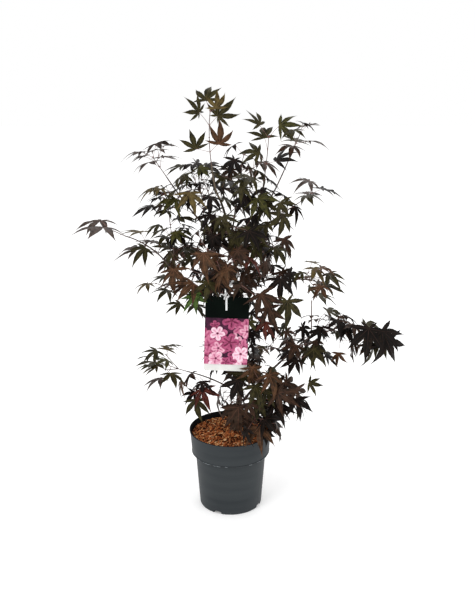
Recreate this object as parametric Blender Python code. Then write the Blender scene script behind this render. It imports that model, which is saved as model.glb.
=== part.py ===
"""A young purple-leaved Japanese maple in a nursery pot, one separate solid for each sub-part.

Metres, +Z up.  The origin is the centre of the pot's flat underside.  +X is the plant's right as it is
looked at, and its front, where the label hangs, faces -Y.  Headings are degrees from +X towards +Y, so
0 is right, 90 is behind, 180 is left and 270 is in front.  A rise is degrees above the horizontal.
"""
import math
import random

import bmesh
import bpy
from mathutils import Matrix, Vector
from mathutils.bvhtree import BVHTree

# ---- driving dimensions -------------------------------------------------------------------------
RIM_RADIUS = 0.095
POT_HEIGHT = 0.187
COLLAR_RADIUS = 0.0895
COLLAR_DEPTH = 0.054
BODY_TOP_RADIUS = 0.0815
BASE_RADIUS = 0.0725
STEP_HEIGHT = POT_HEIGHT - COLLAR_DEPTH
WALL = 0.0016
FLOOR = 0.0025
# how far in and how far up each rounded corner of the pot's outside reaches
BASE_ROUND = (0.0035, 0.0040)
COLLAR_LIP = (0.0030, 0.0022)
RIM_ROUND = 0.0006
RIM_BAND = 0.0030
RIM_LIP = 0.0014
RIM_WIDTH = 0.0026
DRAIN_HOLES = 8
DRAIN_WIDTH = 0.010
DRAIN_HEIGHT = 0.005
DRAIN_REACH = 0.0110
POT_SEGMENTS = 32

SOIL_LEVEL = 0.177
SOIL_MOUND = 0.003
SOIL_EDGE_DROP = 0.004
SOIL_PLATEAU = 0.031
SOIL_RINGS = 3
SOIL_UNEVENNESS = 0.0014
SOIL_SEED = 5

# the gap left between neighbouring solids
CLEAR = 0.0003

TRUNK_FOOT_RADIUS = 0.0072
TRUNK_FORK_RADIUS = 0.0038
TRUNK_TIP_RADIUS = 0.0015
FORK_HEIGHT = 0.575
ROOT_FLARE = 0.0045
FLARE_HEIGHT = 0.018
# the trunk's lean, from the cut at soil level past the fork to the leader's tip: height, x, y
TRUNK_LINE = (
    (SOIL_LEVEL + SOIL_MOUND + CLEAR, 0.012, 0.012),
    (0.255, 0.020, 0.008),
    (0.340, 0.023, 0.000),
    (0.430, 0.018, -0.002),
    (0.510, 0.013, 0.003),
    (0.575, 0.011, 0.004),
    (0.640, -0.003, 0.000),
    (0.700, -0.012, -0.004),
    (0.750, -0.031, -0.004),
    (0.800, -0.039, 0.000),
)
TRUNK_RINGS = 17
TRUNK_SIDES = 8
BOUGH_SIDES = 6

# Each bough: what it grows from, and the height on the trunk or the share of another bough where it
# leaves, then its heading and rise there, how much the heading swings and the rise arches by its tip,
# its length, and its radii at base and tip.
BOUGHS = {
    "right_stem": ("trunk", 0.580, 12, 62, -10, 22, 0.200, 0.0030, 0.0015),
    "right_outer_bough": ("right_stem", 0.50, -8, 60, 0, 8, 0.145, 0.0019, 0.0011),
    "right_upper_bough": ("right_stem", 0.30, -14, 48, 16, -16, 0.112, 0.0019, 0.0011),
    "right_middle_bough": ("trunk", 0.515, -18, 42, 20, -50, 0.130, 0.0022, 0.0012),
    "right_low_bough": ("trunk", 0.255, -8, 53, 10, -12, 0.205, 0.0030, 0.0019),
    "far_right_bough": ("right_low_bough", 1.0, 0, 0, -14, -58, 0.095, 0.0018, 0.0011),
    "upper_left_bough": ("trunk", 0.612, 184, 45, -8, 12, 0.210, 0.0026, 0.0012),
    "long_left_bough": ("trunk", 0.400, 192, 38, -10, 26, 0.215, 0.0032, 0.0020),
    "far_left_bough": ("long_left_bough", 1.0, 0, 0, 6, -44, 0.140, 0.0018, 0.0011),
    "left_middle_bough": ("trunk", 0.450, 170, 42, 6, -26, 0.125, 0.0021, 0.0012),
    "lower_left_bough": ("trunk", 0.275, 198, 40, -8, -22, 0.130, 0.0020, 0.0012),
    "front_right_bough": ("trunk", 0.525, 298, 36, 4, -44, 0.070, 0.0022, 0.0012),
    "front_left_bough": ("trunk", 0.535, 230, 48, -6, -40, 0.090, 0.0021, 0.0012),
    "back_upper_bough": ("trunk", 0.630, 78, 50, 10, -26, 0.150, 0.0021, 0.0011),
    "back_right_bough": ("trunk", 0.490, 72, 44, -4, -36, 0.165, 0.0024, 0.0012),
    "back_left_bough": ("trunk", 0.480, 116, 46, 8, -36, 0.175, 0.0024, 0.0012),
    "back_middle_bough": ("trunk", 0.380, 92, 42, 0, -40, 0.170, 0.0025, 0.0012),
    "back_low_bough": ("trunk", 0.285, 62, 34, 8, -34, 0.130, 0.0021, 0.0012),
}

# Each foliage mass: the limb that its stem meets, and the height or share there (1 is the limb's tip,
# where the stem carries on the limb's own direction), heading, rise, swing, arch and length of the stem,
# how many nodes it has before its tip, how many of those bear side twigs, the leaf length, how many
# degrees the leaves hang, how many the blades tip to the front, and the seed of its own growth.
MASSES = {
    "top_spray": ("trunk", 1.0, 0, 0, 0, 16, 0.112, 3, 0, 0.054, -64, 45, 2),
    "leader_left_spray": ("trunk", 0.715, 172, 38, 0, -24, 0.080, 2, 2, 0.054, 35, 14, 6),
    "leader_right_spray": ("trunk", 0.690, 8, 44, 0, -20, 0.085, 2, 2, 0.054, 40, 16, 5),
    "leader_front_spray": ("trunk", 0.660, 282, 34, 0, -34, 0.085, 2, 2, 0.057, 45, 16, 7),
    "right_stem_spray": ("right_stem", 1.0, 0, 0, 0, 4, 0.085, 2, 0, 0.055, -30, 40, 11),
    "right_stem_inner_spray": ("right_stem", 0.60, 292, 26, 0, -30, 0.070, 2, 1, 0.055, 45, 16, 52),
    "right_top_spray": ("right_outer_bough", 1.0, 0, 0, 0, 0, 0.070, 2, 0, 0.051, -5, 10, 13),
    "right_upper_spray": ("right_upper_bough", 1.0, 0, 0, 0, 6, 0.055, 1, 0, 0.054, 10, 12, 14),
    "right_shoulder_spray": ("right_upper_bough", 0.30, 285, 8, 0, -50, 0.045, 2, 1, 0.055, 50, 14, 61),
    "right_middle_spray": ("right_middle_bough", 1.0, 0, 0, 0, 4, 0.055, 1, 1, 0.057, 20, 12, 16),
    "right_inner_spray": ("trunk", 0.540, 335, 30, 0, -30, 0.095, 2, 2, 0.060, 55, 16, 17),
    "right_low_spray": ("right_low_bough", 0.66, 345, 34, 0, -40, 0.070, 2, 1, 0.054, 35, 14, 18),
    "right_low_upper_spray": ("far_right_bough", 0.15, 30, 40, 0, -50, 0.055, 2, 1, 0.054, 25, 6, 19),
    "far_right_spray": ("far_right_bough", 1.0, 0, 0, 0, 8, 0.090, 3, 3, 0.061, 30, 14, 20),
    "lower_right_spray": ("trunk", 0.292, 312, 30, 0, -44, 0.105, 3, 3, 0.058, 46, 16, 21),
    "upper_left_spray": ("upper_left_bough", 1.0, 0, 0, 0, 0, 0.050, 1, 0, 0.051, 5, 0, 22),
    "upper_left_side_spray": ("upper_left_bough", 0.66, 196, 24, 0, -10, 0.050, 1, 0, 0.053, 8, 0, 23),
    "upper_left_inner_spray": ("upper_left_bough", 0.38, 110, 74, 0, -14, 0.100, 2, 2, 0.054, 30, 15, 24),
    "left_rising_spray": ("long_left_bough", 0.98, 172, 84, 0, 0, 0.150, 3, 0, 0.055, 4, 14, 42),
    "far_left_spray": ("far_left_bough", 1.0, 0, 0, 0, 10, 0.036, 0, 0, 0.075, 6, 10, 25),
    "long_left_side_spray": ("far_left_bough", 0.30, 150, 42, 0, -30, 0.050, 1, 0, 0.054, 12, 24, 26),
    "centre_left_spray": ("trunk", 0.575, 205, 24, 0, -40, 0.085, 2, 2, 0.057, 45, 16, 43),
    "left_middle_spray": ("left_middle_bough", 1.0, 0, 0, 0, 0, 0.070, 2, 0, 0.053, 4, 0, 27),
    "left_middle_side_spray": ("long_left_bough", 0.55, 205, 58, 0, -10, 0.030, 1, 0, 0.051, 20, 12, 28),
    "lower_left_spray": ("lower_left_bough", 1.0, 0, 0, 0, 10, 0.070, 2, 1, 0.054, 10, 0, 29),
    "lower_left_hanging_spray": ("lower_left_bough", 0.55, 215, 0, 0, -30, 0.045, 1, 0, 0.053, 45, 16, 50),
    "foot_right_spray": ("trunk", 0.262, 284, 24, 0, -60, 0.080, 3, 2, 0.062, 46, 16, 31),
    "foot_left_spray": ("trunk", 0.282, 238, 20, 0, -50, 0.055, 2, 1, 0.053, 45, 16, 32),
    "front_upper_spray": ("trunk", 0.592, 262, 44, -14, -60, 0.140, 3, 3, 0.058, 48, 16, 33),
    "front_right_spray": ("front_right_bough", 1.0, 0, 0, 0, -20, 0.060, 2, 2, 0.062, 55, 16, 34),
    "front_left_spray": ("front_left_bough", 1.0, 0, 0, 0, -16, 0.070, 2, 2, 0.057, 38, 14, 35),
    "back_upper_spray": ("back_upper_bough", 1.0, 0, 0, 0, -10, 0.075, 2, 2, 0.055, 40, 0, 36),
    "back_right_spray": ("back_right_bough", 1.0, 0, 0, 0, -20, 0.080, 2, 2, 0.057, 40, 0, 37),
    "back_left_spray": ("back_left_bough", 1.0, 0, 0, 0, -20, 0.080, 2, 2, 0.057, 40, 0, 38),
    "back_middle_spray": ("back_middle_bough", 1.0, 0, 0, 0, -20, 0.080, 2, 2, 0.057, 40, 0, 39),
    "back_low_spray": ("back_low_bough", 1.0, 0, 0, 0, -20, 0.080, 2, 2, 0.055, 45, 0, 40),
    "back_low_left_spray": ("trunk", 0.300, 108, 36, 0, -40, 0.150, 3, 2, 0.055, 40, 0, 41),
}
STEM_RADIUS = 0.0010
TWIG_RADIUS = 0.0009
TWIG_TIP_RADIUS = 0.0008
PETIOLE_RADIUS = 0.0005
PETIOLE_LENGTH = 0.032
SIDE_TWIG_LENGTH = 0.048
# the palm-shaped leaf blade, from the hub where its stalk meets it: degrees off the middle lobe and
# distance in leaf lengths, for the lobe tips and the cuts between them, from one side of the stalk
# round to the other
LEAF_OUTLINE = (
    (-150, 0.06), (-88, 0.64), (-64, 0.27), (-43, 0.90), (-21, 0.31), (0, 1.00),
    (21, 0.31), (43, 0.90), (64, 0.27), (88, 0.64), (150, 0.06),
)
LEAF_HUB_THICKNESS = 0.0018
LOBE_DROOP = 0.22
# no leaf or twig passes this box round the whole crown: lowest and highest corner
CROWN_LOW = Vector((-0.345, -0.300, 0.183))
CROWN_HIGH = Vector((0.398, 0.300, 0.973))
LEAF_TRIES = 14
# how a leaf stands on its twig, each a range that is drawn from: how far its stalk points out from the
# twig, along it and up, the stalk's and the blade's size, and the blade's yaw, nod and roll in degrees
STALK_OUT = (0.75, 1.05)
STALK_ALONG = (0.35, 0.95)
STALK_UP = (-0.15, 0.55)
STALK_SIZE = (0.70, 1.10)
LEAF_SIZE = (0.82, 1.10)
LEAF_YAW = 28
LEAF_NOD = 28
LEAF_ROLL = 32
# opposite pairs stand level and upright by turns
PAIR_TURNS = (58, 12)
PAIR_SPREAD = 12
# a side twig's size, how far it points out from the stem, along it and up, and its leaf pair's turn
SIDE_TWIG_SIZE = (0.75, 1.15)
SIDE_TWIG_OUT = 0.8
SIDE_TWIG_ALONG = 0.75
SIDE_TWIG_UP = (-0.2, 0.3)
SIDE_PAIR_SPREAD = 25
# the heading of the plant's front
FRONT = 270
# a twig or stalk is tried a little fat, past its own root, and its root starts inside what bears it
TRIAL_MARGIN = 0.0007
TRIAL_ROOT = 0.006
ROOT_BACK = 0.0016
ROOT_OUT = 0.0002

# the card hangs from the middle of its top edge, turned a little in its own plane
LABEL_WIDTH = 0.094
LABEL_HEIGHT = 0.170
LABEL_THICKNESS = 0.0007
LABEL_TOP = Vector((-0.005, -0.074, 0.531))
LABEL_TURN = 2.0
LABEL_CORNER = 0.003
# the space in front of the card that no leaf grows into: its bottom and top below the card's top edge,
# how far it comes forward and how much it climbs on the way, and how much wider it is than the card
LABEL_VIEW_DROP = (0.150, 0.022)
LABEL_VIEW_DEPTH = 0.24
LABEL_VIEW_CLIMB = 0.34
LABEL_VIEW_MARGIN = 0.004
# the strap's middle line where it laps the card, and the loop it makes round the trunk
STRAP_WIDTH = 0.0040
STRAP_THICKNESS = 0.0008
STRAP_X = -0.0075
STRAP_FRONT_LAP = 0.030
STRAP_BACK_LAP = 0.016
STRAP_LOOP = Vector((0.0115, 0.0040, 0.562))
STRAP_LOOP_GAP = 0.0008

COLOURS = {
    "pot": (0.055, 0.061, 0.066),
    "compost": (0.110, 0.040, 0.016),
    "bark": (0.085, 0.068, 0.048),
    "foliage": (0.034, 0.020, 0.015),
    "label": (0.450, 0.210, 0.290),
    "strap": (0.800, 0.800, 0.790),
}
ROUGHNESS = {"pot": 0.45, "compost": 0.95, "bark": 0.75, "foliage": 0.5, "label": 0.3, "strap": 0.35}
SMOOTH_DEGREES = 40


# ---- meshes and materials -----------------------------------------------------------------------
def clear_scene():
    for obj in list(bpy.data.objects):
        bpy.data.objects.remove(obj, do_unlink=True)


def material(name):
    """The named plain finish, made once."""
    found = bpy.data.materials.get(name)
    if found:
        return found
    made = bpy.data.materials.new(name)
    made.use_nodes = True
    shader = made.node_tree.nodes["Principled BSDF"]
    shader.inputs["Base Color"].default_value = (*COLOURS[name], 1.0)
    shader.inputs["Roughness"].default_value = ROUGHNESS[name]
    shader.inputs["Metallic"].default_value = 0.0
    return made


def add_object(name, vertices, faces, finish):
    mesh = bpy.data.meshes.new(name)
    mesh.from_pydata([tuple(point) for point in vertices], [], faces)
    mesh.materials.append(material(finish))
    mesh.update()
    obj = bpy.data.objects.new(name, mesh)
    bpy.context.scene.collection.objects.link(obj)
    return obj


def tube(path, radii, sides, first_up=None):
    """Vertices and faces of a closed tube along a path, its cross-section carried without twist."""
    tangents = []
    for index in range(len(path)):
        before = path[max(index - 1, 0)]
        after = path[min(index + 1, len(path) - 1)]
        tangents.append((after - before).normalized())
    if first_up:
        tangents[0] = first_up
    across = tangents[0].orthogonal().normalized()
    vertices = []
    for point, tangent, radius in zip(path, tangents, radii):
        across = (across - tangent * across.dot(tangent)).normalized()
        other = tangent.cross(across)
        for side in range(sides):
            angle = 2 * math.pi * side / sides
            vertices.append(point + (across * math.cos(angle) + other * math.sin(angle)) * radius)
    faces = [tuple(reversed(range(sides)))]
    for ring in range(len(path) - 1):
        for side in range(sides):
            here = ring * sides + side
            beside = ring * sides + (side + 1) % sides
            faces.append((here, beside, beside + sides, here + sides))
    last = (len(path) - 1) * sides
    faces.append(tuple(range(last, last + sides)))
    return vertices, faces


def turned(profile, segments):
    """A closed solid turned about +Z from a closed outline of (radius, height), listed anticlockwise."""
    vertices = []
    rows = []
    for radius, height in profile:
        if radius == 0:
            vertices.append(Vector((0, 0, height)))
            rows.append([len(vertices) - 1] * segments)
            continue
        row = []
        for index in range(segments):
            angle = 2 * math.pi * index / segments
            vertices.append(Vector((radius * math.cos(angle), radius * math.sin(angle), height)))
            row.append(len(vertices) - 1)
        rows.append(row)
    faces = []
    for row, following in zip(rows, rows[1:] + rows[:1]):
        for index in range(segments):
            after = (index + 1) % segments
            corners = (row[index], row[after], following[after], following[index])
            distinct = tuple(dict.fromkeys(corners))
            if len(distinct) > 2:
                faces.append(distinct)
    return vertices, faces


# ---- limbs --------------------------------------------------------------------------------------
def direction(heading, rise):
    heading = math.radians(heading)
    rise = math.radians(rise)
    flat = math.cos(rise)
    return Vector((flat * math.cos(heading), flat * math.sin(heading), math.sin(rise)))


def heading_and_rise(vector):
    vector = vector.normalized()
    return math.degrees(math.atan2(vector.y, vector.x)), math.degrees(math.asin(vector.z))


def arc(start, heading, rise, swing, arch, length, steps):
    """A centre line whose heading swings and whose rise arches evenly along it."""
    points = [start.copy()]
    for step in range(steps):
        share = (step + 0.5) / steps
        points.append(points[-1] + direction(heading + swing * share, rise + arch * share) * length / steps)
    return points


def smooth_line(knots, count):
    """Evenly numbered points on a Catmull-Rom curve through the knots."""
    ends = [2 * knots[0] - knots[1]] + list(knots) + [2 * knots[-1] - knots[-2]]
    points = []
    for index in range(count):
        place = index / (count - 1) * (len(knots) - 1)
        span = min(int(place), len(knots) - 2)
        t = place - span
        a, b, c, d = ends[span:span + 4]
        points.append(0.5 * (2 * b + (c - a) * t + (2 * a - 5 * b + 4 * c - d) * t * t
                             + (3 * b - a - 3 * c + d) * t * t * t))
    return points


class Limb:
    """A tapering centre line that boughs and sprays grow from."""

    def __init__(self, path, radii):
        self.path = path
        self.radii = radii

    def share_at(self, height):
        """The share of an upright limb's length at a height."""
        for index in range(len(self.path) - 1):
            low, high = self.path[index].z, self.path[index + 1].z
            if low <= height < high:
                return (index + (height - low) / (high - low)) / (len(self.path) - 1)
        return 1.0

    def at(self, share):
        """The point, the direction and the radius at a share of the limb's length."""
        place = share * (len(self.path) - 1)
        index = min(int(place), len(self.path) - 2)
        part = place - index
        here, after = self.path[index], self.path[index + 1]
        radius = self.radii[index] * (1 - part) + self.radii[index + 1] * part
        return here.lerp(after, part), (after - here).normalized(), radius


def leave(limbs, name, place, heading, rise, radius):
    """Where a round stem of this radius starts, just clear of its limb, and its heading and rise."""
    limb = limbs[name]
    share = limb.share_at(place) if name == "trunk" else place
    point, along, limb_radius = limb.at(share)
    if share >= 1:
        heading, rise = heading_and_rise(along)
        return point + along * CLEAR, heading, rise
    way = direction(heading, rise)
    off = (way - along * way.dot(along)).normalized()
    lean = math.sqrt(max(0.0, 1 - way.dot(off) ** 2))
    return point + off * (limb_radius + CLEAR + radius * lean), heading, rise


def grow_trunk():
    knots = [Vector((x, y, height)) for height, x, y in TRUNK_LINE]
    path = smooth_line(knots, TRUNK_RINGS)
    foot = path[0].z
    radii = []
    for point in path:
        if point.z < FORK_HEIGHT:
            share = (point.z - foot) / (FORK_HEIGHT - foot)
            radius = TRUNK_FOOT_RADIUS + (TRUNK_FORK_RADIUS - TRUNK_FOOT_RADIUS) * share
        else:
            share = (point.z - FORK_HEIGHT) / (path[-1].z - FORK_HEIGHT)
            radius = TRUNK_FORK_RADIUS + (TRUNK_TIP_RADIUS - TRUNK_FORK_RADIUS) * share
        radii.append(radius + ROOT_FLARE * math.exp(-(point.z - foot) / FLARE_HEIGHT))
    return Limb(path, radii)


def grow_limbs():
    limbs = {"trunk": grow_trunk()}
    for name, row in BOUGHS.items():
        parent, place, heading, rise, swing, arch, length, base, tip = row
        start, heading, rise = leave(limbs, parent, place, heading, rise, base)
        steps = 3 + round(length / 0.04)
        path = arc(start, heading, rise, swing, arch, length, steps)
        radii = [base + (tip - base) * index / steps for index in range(steps + 1)]
        limbs[name] = Limb(path, radii)
    return limbs


# ---- the space that growth keeps clear of -------------------------------------------------------
class Taken:
    """Solids already there, each with a ball round it, so a leaf or twig can be tried against them."""

    def __init__(self):
        self.solids = []

    def add(self, vertices, faces):
        middle = sum(vertices, Vector()) / len(vertices)
        reach = max((point - middle).length for point in vertices)
        self.solids.append((middle, reach, BVHTree.FromPolygons(vertices, faces)))

    def meets(self, vertices, faces):
        middle = sum(vertices, Vector()) / len(vertices)
        reach = max((point - middle).length for point in vertices)
        tree = None
        for other_middle, other_reach, other in self.solids:
            if (middle - other_middle).length > reach + other_reach:
                continue
            tree = tree or BVHTree.FromPolygons(vertices, faces)
            if tree.overlap(other):
                return True
        return False


def inside_crown(vertices):
    return all(CROWN_LOW[axis] < point[axis] < CROWN_HIGH[axis] for point in vertices for axis in range(3))


# ---- the growth rule ----------------------------------------------------------------------------
class Leaf:
    """A blade on its stalk: the stalk's root, the hub where they meet, the blade's frame and length."""

    def __init__(self, root, hub, forward, normal, length):
        self.root = root
        self.hub = hub
        self.forward = forward
        self.normal = normal
        self.length = length

    def outline(self):
        """The blade's rim: each lobe sinks below the hub as it goes out."""
        side = self.normal.cross(self.forward)
        rim = []
        for degrees, share in LEAF_OUTLINE:
            angle = math.radians(degrees)
            out = self.forward * math.cos(angle) + side * math.sin(angle)
            rim.append(self.hub + (out * share - self.normal * LOBE_DROOP * share * share) * self.length)
        return rim

    def solid(self, half, stalk_radius):
        """Blade and stalk in one: a fan on each face, and the stalk from the face it comes in on."""
        rim = self.outline()
        last = len(rim) - 1
        above, below, root = last + 1, last + 2, last + 3
        side = 1 if (self.root - self.hub).dot(self.normal) > 0 else -1
        near, far = (above, below) if side > 0 else (below, above)
        way = (self.hub - self.root).normalized()
        across = (self.normal * side).cross(way).normalized()
        upright = way.cross(across)
        vertices = rim + [self.hub + self.normal * half, self.hub - self.normal * half]
        vertices += [self.root + upright * stalk_radius]
        vertices += [self.root + (across * sign - upright * 0.5) * stalk_radius for sign in (-0.87, 0.87)]
        faces = [(0, last, far), (near, root, root + 1, 0), (near, last, root + 2, root)]
        faces += [(0, root + 1, root + 2, last), (root, root + 2, root + 1)]
        for index in range(last):
            faces.append((index, index + 1, near))
            faces.append((index + 1, index, far))
        if side < 0:
            vertices[root + 1], vertices[root + 2] = vertices[root + 2], vertices[root + 1]
            faces = [tuple(reversed(face)) for face in faces]
        return vertices, faces

    def slab(self, half):
        """The blade with an even thickness, to try it against its neighbours."""
        rim = self.outline()
        count = len(rim)
        vertices = [point + self.normal * half for point in rim]
        vertices += [point - self.normal * half for point in rim]
        vertices += [self.hub + self.normal * half, self.hub - self.normal * half]
        faces = []
        for index in range(count):
            after = (index + 1) % count
            faces.append((index, after, 2 * count))
            faces.append((count + after, count + index, 2 * count + 1))
            faces.append((index, count + index, count + after, after))
        return vertices, faces


def trial_tube(start, end, radius):
    """A stalk or twig as it is tried: a little fat, and started past its own root."""
    way = (end - start).normalized()
    return tube([start + way * TRIAL_ROOT, end], [radius + TRIAL_MARGIN] * 2, 3)


def pair_axes(along, turn):
    """Two opposite ways off a stem, level when turn is 0 and upright at 90."""
    level = along.cross(Vector((0, 0, 1)))
    if level.length < 0.2:
        level = along.cross(Vector((0, 1, 0)))
    level.normalize()
    upright = level.cross(along).normalized()
    angle = math.radians(turn)
    way = level * math.cos(angle) + upright * math.sin(angle)
    return way, -way


def grow_leaf(root, along, way, length, hang, light, rng, taken):
    """A leaf on the side of a twig, turned and bent a little more each time it meets something."""
    root = root - along * ROOT_BACK + way * ROOT_OUT
    for attempt in range(LEAF_TRIES):
        spread = 1 + attempt / LEAF_TRIES
        stalk = way * rng.uniform(*STALK_OUT) + along * rng.uniform(*STALK_ALONG) * spread
        stalk += Vector((0, 0, rng.uniform(*STALK_UP)))
        stalk.normalize()
        hub = root + stalk * PETIOLE_LENGTH * rng.uniform(*STALK_SIZE)
        heading = heading_and_rise(stalk)[0] + rng.uniform(-LEAF_YAW, LEAF_YAW) * spread
        forward = direction(heading, -hang + rng.uniform(-LEAF_NOD, LEAF_NOD) * spread)
        level = light.cross(forward).normalized()
        normal = forward.cross(level).normalized()
        roll = math.radians(rng.uniform(-LEAF_ROLL, LEAF_ROLL) * spread)
        normal.rotate(Matrix.Rotation(roll, 3, forward))
        leaf = Leaf(root, hub, forward, normal, length * rng.uniform(*LEAF_SIZE))
        slab = leaf.slab(LEAF_HUB_THICKNESS / 2 + TRIAL_MARGIN / 2)
        stalk_trial = trial_tube(root, hub, PETIOLE_RADIUS)
        if not inside_crown(slab[0]) or taken.meets(*slab) or taken.meets(*stalk_trial):
            continue
        taken.add(*slab)
        taken.add(*stalk_trial)
        return leaf
    return None


class Spray:
    """One foliage mass: its twigs, each a path with radii, and its leaves."""

    def __init__(self):
        self.twigs = []
        self.leaves = []


def grow_stem(row, limbs, taken):
    """The stem of a foliage mass, tapering from its limb to its own tip."""
    limb, place, heading, rise, swing, arch, length, nodes = row[:8]
    start, heading, rise = leave(limbs, limb, place, heading, rise, STEM_RADIUS)
    stem = arc(start, heading, rise, swing, arch, length, nodes + 1)
    taper = (TWIG_TIP_RADIUS - STEM_RADIUS) / (nodes + 1)
    radii = [STEM_RADIUS + taper * index for index in range(nodes + 2)]
    for index in range(nodes + 1):
        near = stem[index] if index else stem[0] + (stem[1] - stem[0]).normalized() * TRIAL_ROOT
        taken.add(*tube([near, stem[index + 1]], [radii[index] + TRIAL_MARGIN] * 2, 3))
    return stem, radii


def grow_spray(row, stem, radii, taken):
    """The side twigs and leaves of a foliage mass, in opposite pairs along its stem."""
    nodes, forks, leaf_length, hang, lean, seed = row[7:]
    rng = random.Random(seed)
    light = direction(FRONT, 90 - lean)
    spray = Spray()
    spray.twigs.append((stem, radii))
    for node in range(1, nodes + 2):
        root = stem[node]
        along = (stem[node] - stem[node - 1]).normalized()
        for way in pair_axes(along, PAIR_TURNS[node % 2] + rng.uniform(-PAIR_SPREAD, PAIR_SPREAD)):
            if node <= forks:
                grow_side_twig(spray, root, along, way, leaf_length, hang, light, rng, taken)
            else:
                leaf = grow_leaf(root, along, way, leaf_length, hang, light, rng, taken)
                if leaf:
                    spray.leaves.append(leaf)
    return spray


def grow_side_twig(spray, root, along, way, leaf_length, hang, light, rng, taken):
    """A short side twig with a pair of leaves at its tip, or one leaf where it can't grow."""
    reach = SIDE_TWIG_LENGTH * rng.uniform(*SIDE_TWIG_SIZE)
    climb = Vector((0, 0, rng.uniform(*SIDE_TWIG_UP)))
    out = (way * SIDE_TWIG_OUT + along * SIDE_TWIG_ALONG + climb).normalized()
    tip = root + out * reach
    trial = tube([root + out * TRIAL_ROOT, tip], [TWIG_RADIUS + TRIAL_MARGIN] * 2, 3)
    if taken.meets(*trial) or not inside_crown([tip]):
        leaf = grow_leaf(root, along, way, leaf_length, hang, light, rng, taken)
        if leaf:
            spray.leaves.append(leaf)
        return
    taken.add(*trial)
    spray.twigs.append(([root - along * ROOT_BACK + way * ROOT_OUT, tip], [TWIG_RADIUS, TWIG_TIP_RADIUS]))
    for tip_way in pair_axes(out, rng.uniform(-SIDE_PAIR_SPREAD, SIDE_PAIR_SPREAD)):
        leaf = grow_leaf(tip, out, tip_way, leaf_length, hang, light, rng, taken)
        if leaf:
            spray.leaves.append(leaf)


def grow_plant(stands):
    """Every limb and spray, grown in order, clear of each other and of the solids that stand there."""
    limbs = grow_limbs()
    taken = Taken()
    for vertices, faces in stands:
        taken.add(vertices, faces)
    for name, limb in limbs.items():
        sides = TRUNK_SIDES if name == "trunk" else BOUGH_SIDES
        for index in range(len(limb.path) - 1):
            radii = [radius + CLEAR for radius in limb.radii[index:index + 2]]
            taken.add(*tube(limb.path[index:index + 2], radii, sides))
    stems = {name: grow_stem(row, limbs, taken) for name, row in MASSES.items()}
    sprays = {name: grow_spray(row, *stems[name], taken) for name, row in MASSES.items()}
    return limbs, sprays


# ---- pot, compost, label ------------------------------------------------------------------------
def pot_outside():
    """The pot's outer outline from the underside up to the rim."""
    lip_in, lip_down = COLLAR_LIP
    round_in, round_up = BASE_ROUND
    return [
        (0, 0), (BASE_RADIUS - round_in, 0),
        (BASE_RADIUS - round_in * 0.23, round_up * 0.30), (BASE_RADIUS, round_up),
        (BODY_TOP_RADIUS, STEP_HEIGHT - lip_down * 1.6), (COLLAR_RADIUS - lip_in, STEP_HEIGHT - lip_down),
        (COLLAR_RADIUS - lip_in * 0.2, STEP_HEIGHT), (COLLAR_RADIUS, STEP_HEIGHT + lip_in),
        (RIM_RADIUS - RIM_LIP, POT_HEIGHT - RIM_BAND - RIM_ROUND * 1.7), (RIM_RADIUS, POT_HEIGHT - RIM_BAND),
        (RIM_RADIUS, POT_HEIGHT - RIM_ROUND), (RIM_RADIUS - RIM_ROUND, POT_HEIGHT),
    ]


def pot_inside():
    """The pot's inner outline from the rim down to the floor."""
    return [
        (RIM_RADIUS - RIM_WIDTH, POT_HEIGHT), (RIM_RADIUS - RIM_LIP - WALL, POT_HEIGHT - 2 * RIM_WIDTH),
        (COLLAR_RADIUS - WALL, STEP_HEIGHT + 2 * WALL), (COLLAR_RADIUS - 3 * WALL, STEP_HEIGHT),
        (BODY_TOP_RADIUS - WALL, STEP_HEIGHT - WALL), (BASE_RADIUS - WALL, FLOOR + WALL),
        (BASE_RADIUS - 2 * WALL, FLOOR), (0, FLOOR),
    ]


def box(low, high):
    corners = []
    for z in (low[2], high[2]):
        for y in (low[1], high[1]):
            corners += [Vector((low[0], y, z)), Vector((high[0], y, z))]
    faces = [(0, 2, 3, 1), (4, 5, 7, 6), (0, 1, 5, 4), (2, 6, 7, 3), (0, 4, 6, 2), (1, 3, 7, 5)]
    return corners, faces


def outward(obj):
    """Turn all faces of a closed mesh out."""
    shape = bmesh.new()
    shape.from_mesh(obj.data)
    bmesh.ops.recalc_face_normals(shape, faces=shape.faces)
    shape.to_mesh(obj.data)
    shape.free()


def smooth(obj):
    obj.data.shade_smooth()
    obj.data.set_sharp_from_angle(angle=math.radians(SMOOTH_DEGREES))


def make_pot():
    pot = add_object("pot", *turned(pot_outside() + pot_inside(), POT_SEGMENTS), "pot")
    outward(pot)
    vertices = []
    faces = []
    for index in range(DRAIN_HOLES):
        turn = Matrix.Rotation(2 * math.pi * (index + 0.5) / DRAIN_HOLES, 3, "Z")
        low = (BASE_RADIUS - DRAIN_REACH, -DRAIN_WIDTH / 2, -WALL)
        high = (BASE_RADIUS + 2 * WALL, DRAIN_WIDTH / 2, DRAIN_HEIGHT)
        corners, sides = box(low, high)
        first = len(vertices)
        vertices += [turn @ corner for corner in corners]
        faces += [tuple(first + corner for corner in side) for side in sides]
    cutter = add_object("drain_hole_cutter", vertices, faces, "pot")
    cutter.hide_render = True
    cutter.display_type = "WIRE"
    cut = pot.modifiers.new("drain holes", "BOOLEAN")
    cut.operation = "DIFFERENCE"
    cut.solver = "EXACT"
    cut.object = cutter
    smooth(pot)


def inner_radius(height):
    """The pot's inner radius at a height."""
    outline = pot_inside()
    for (wide, upper), (narrow, lower) in zip(outline, outline[1:]):
        if lower <= height <= upper and upper > lower:
            return narrow + (wide - narrow) * (height - lower) / (upper - lower)
    return 0.0


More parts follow.
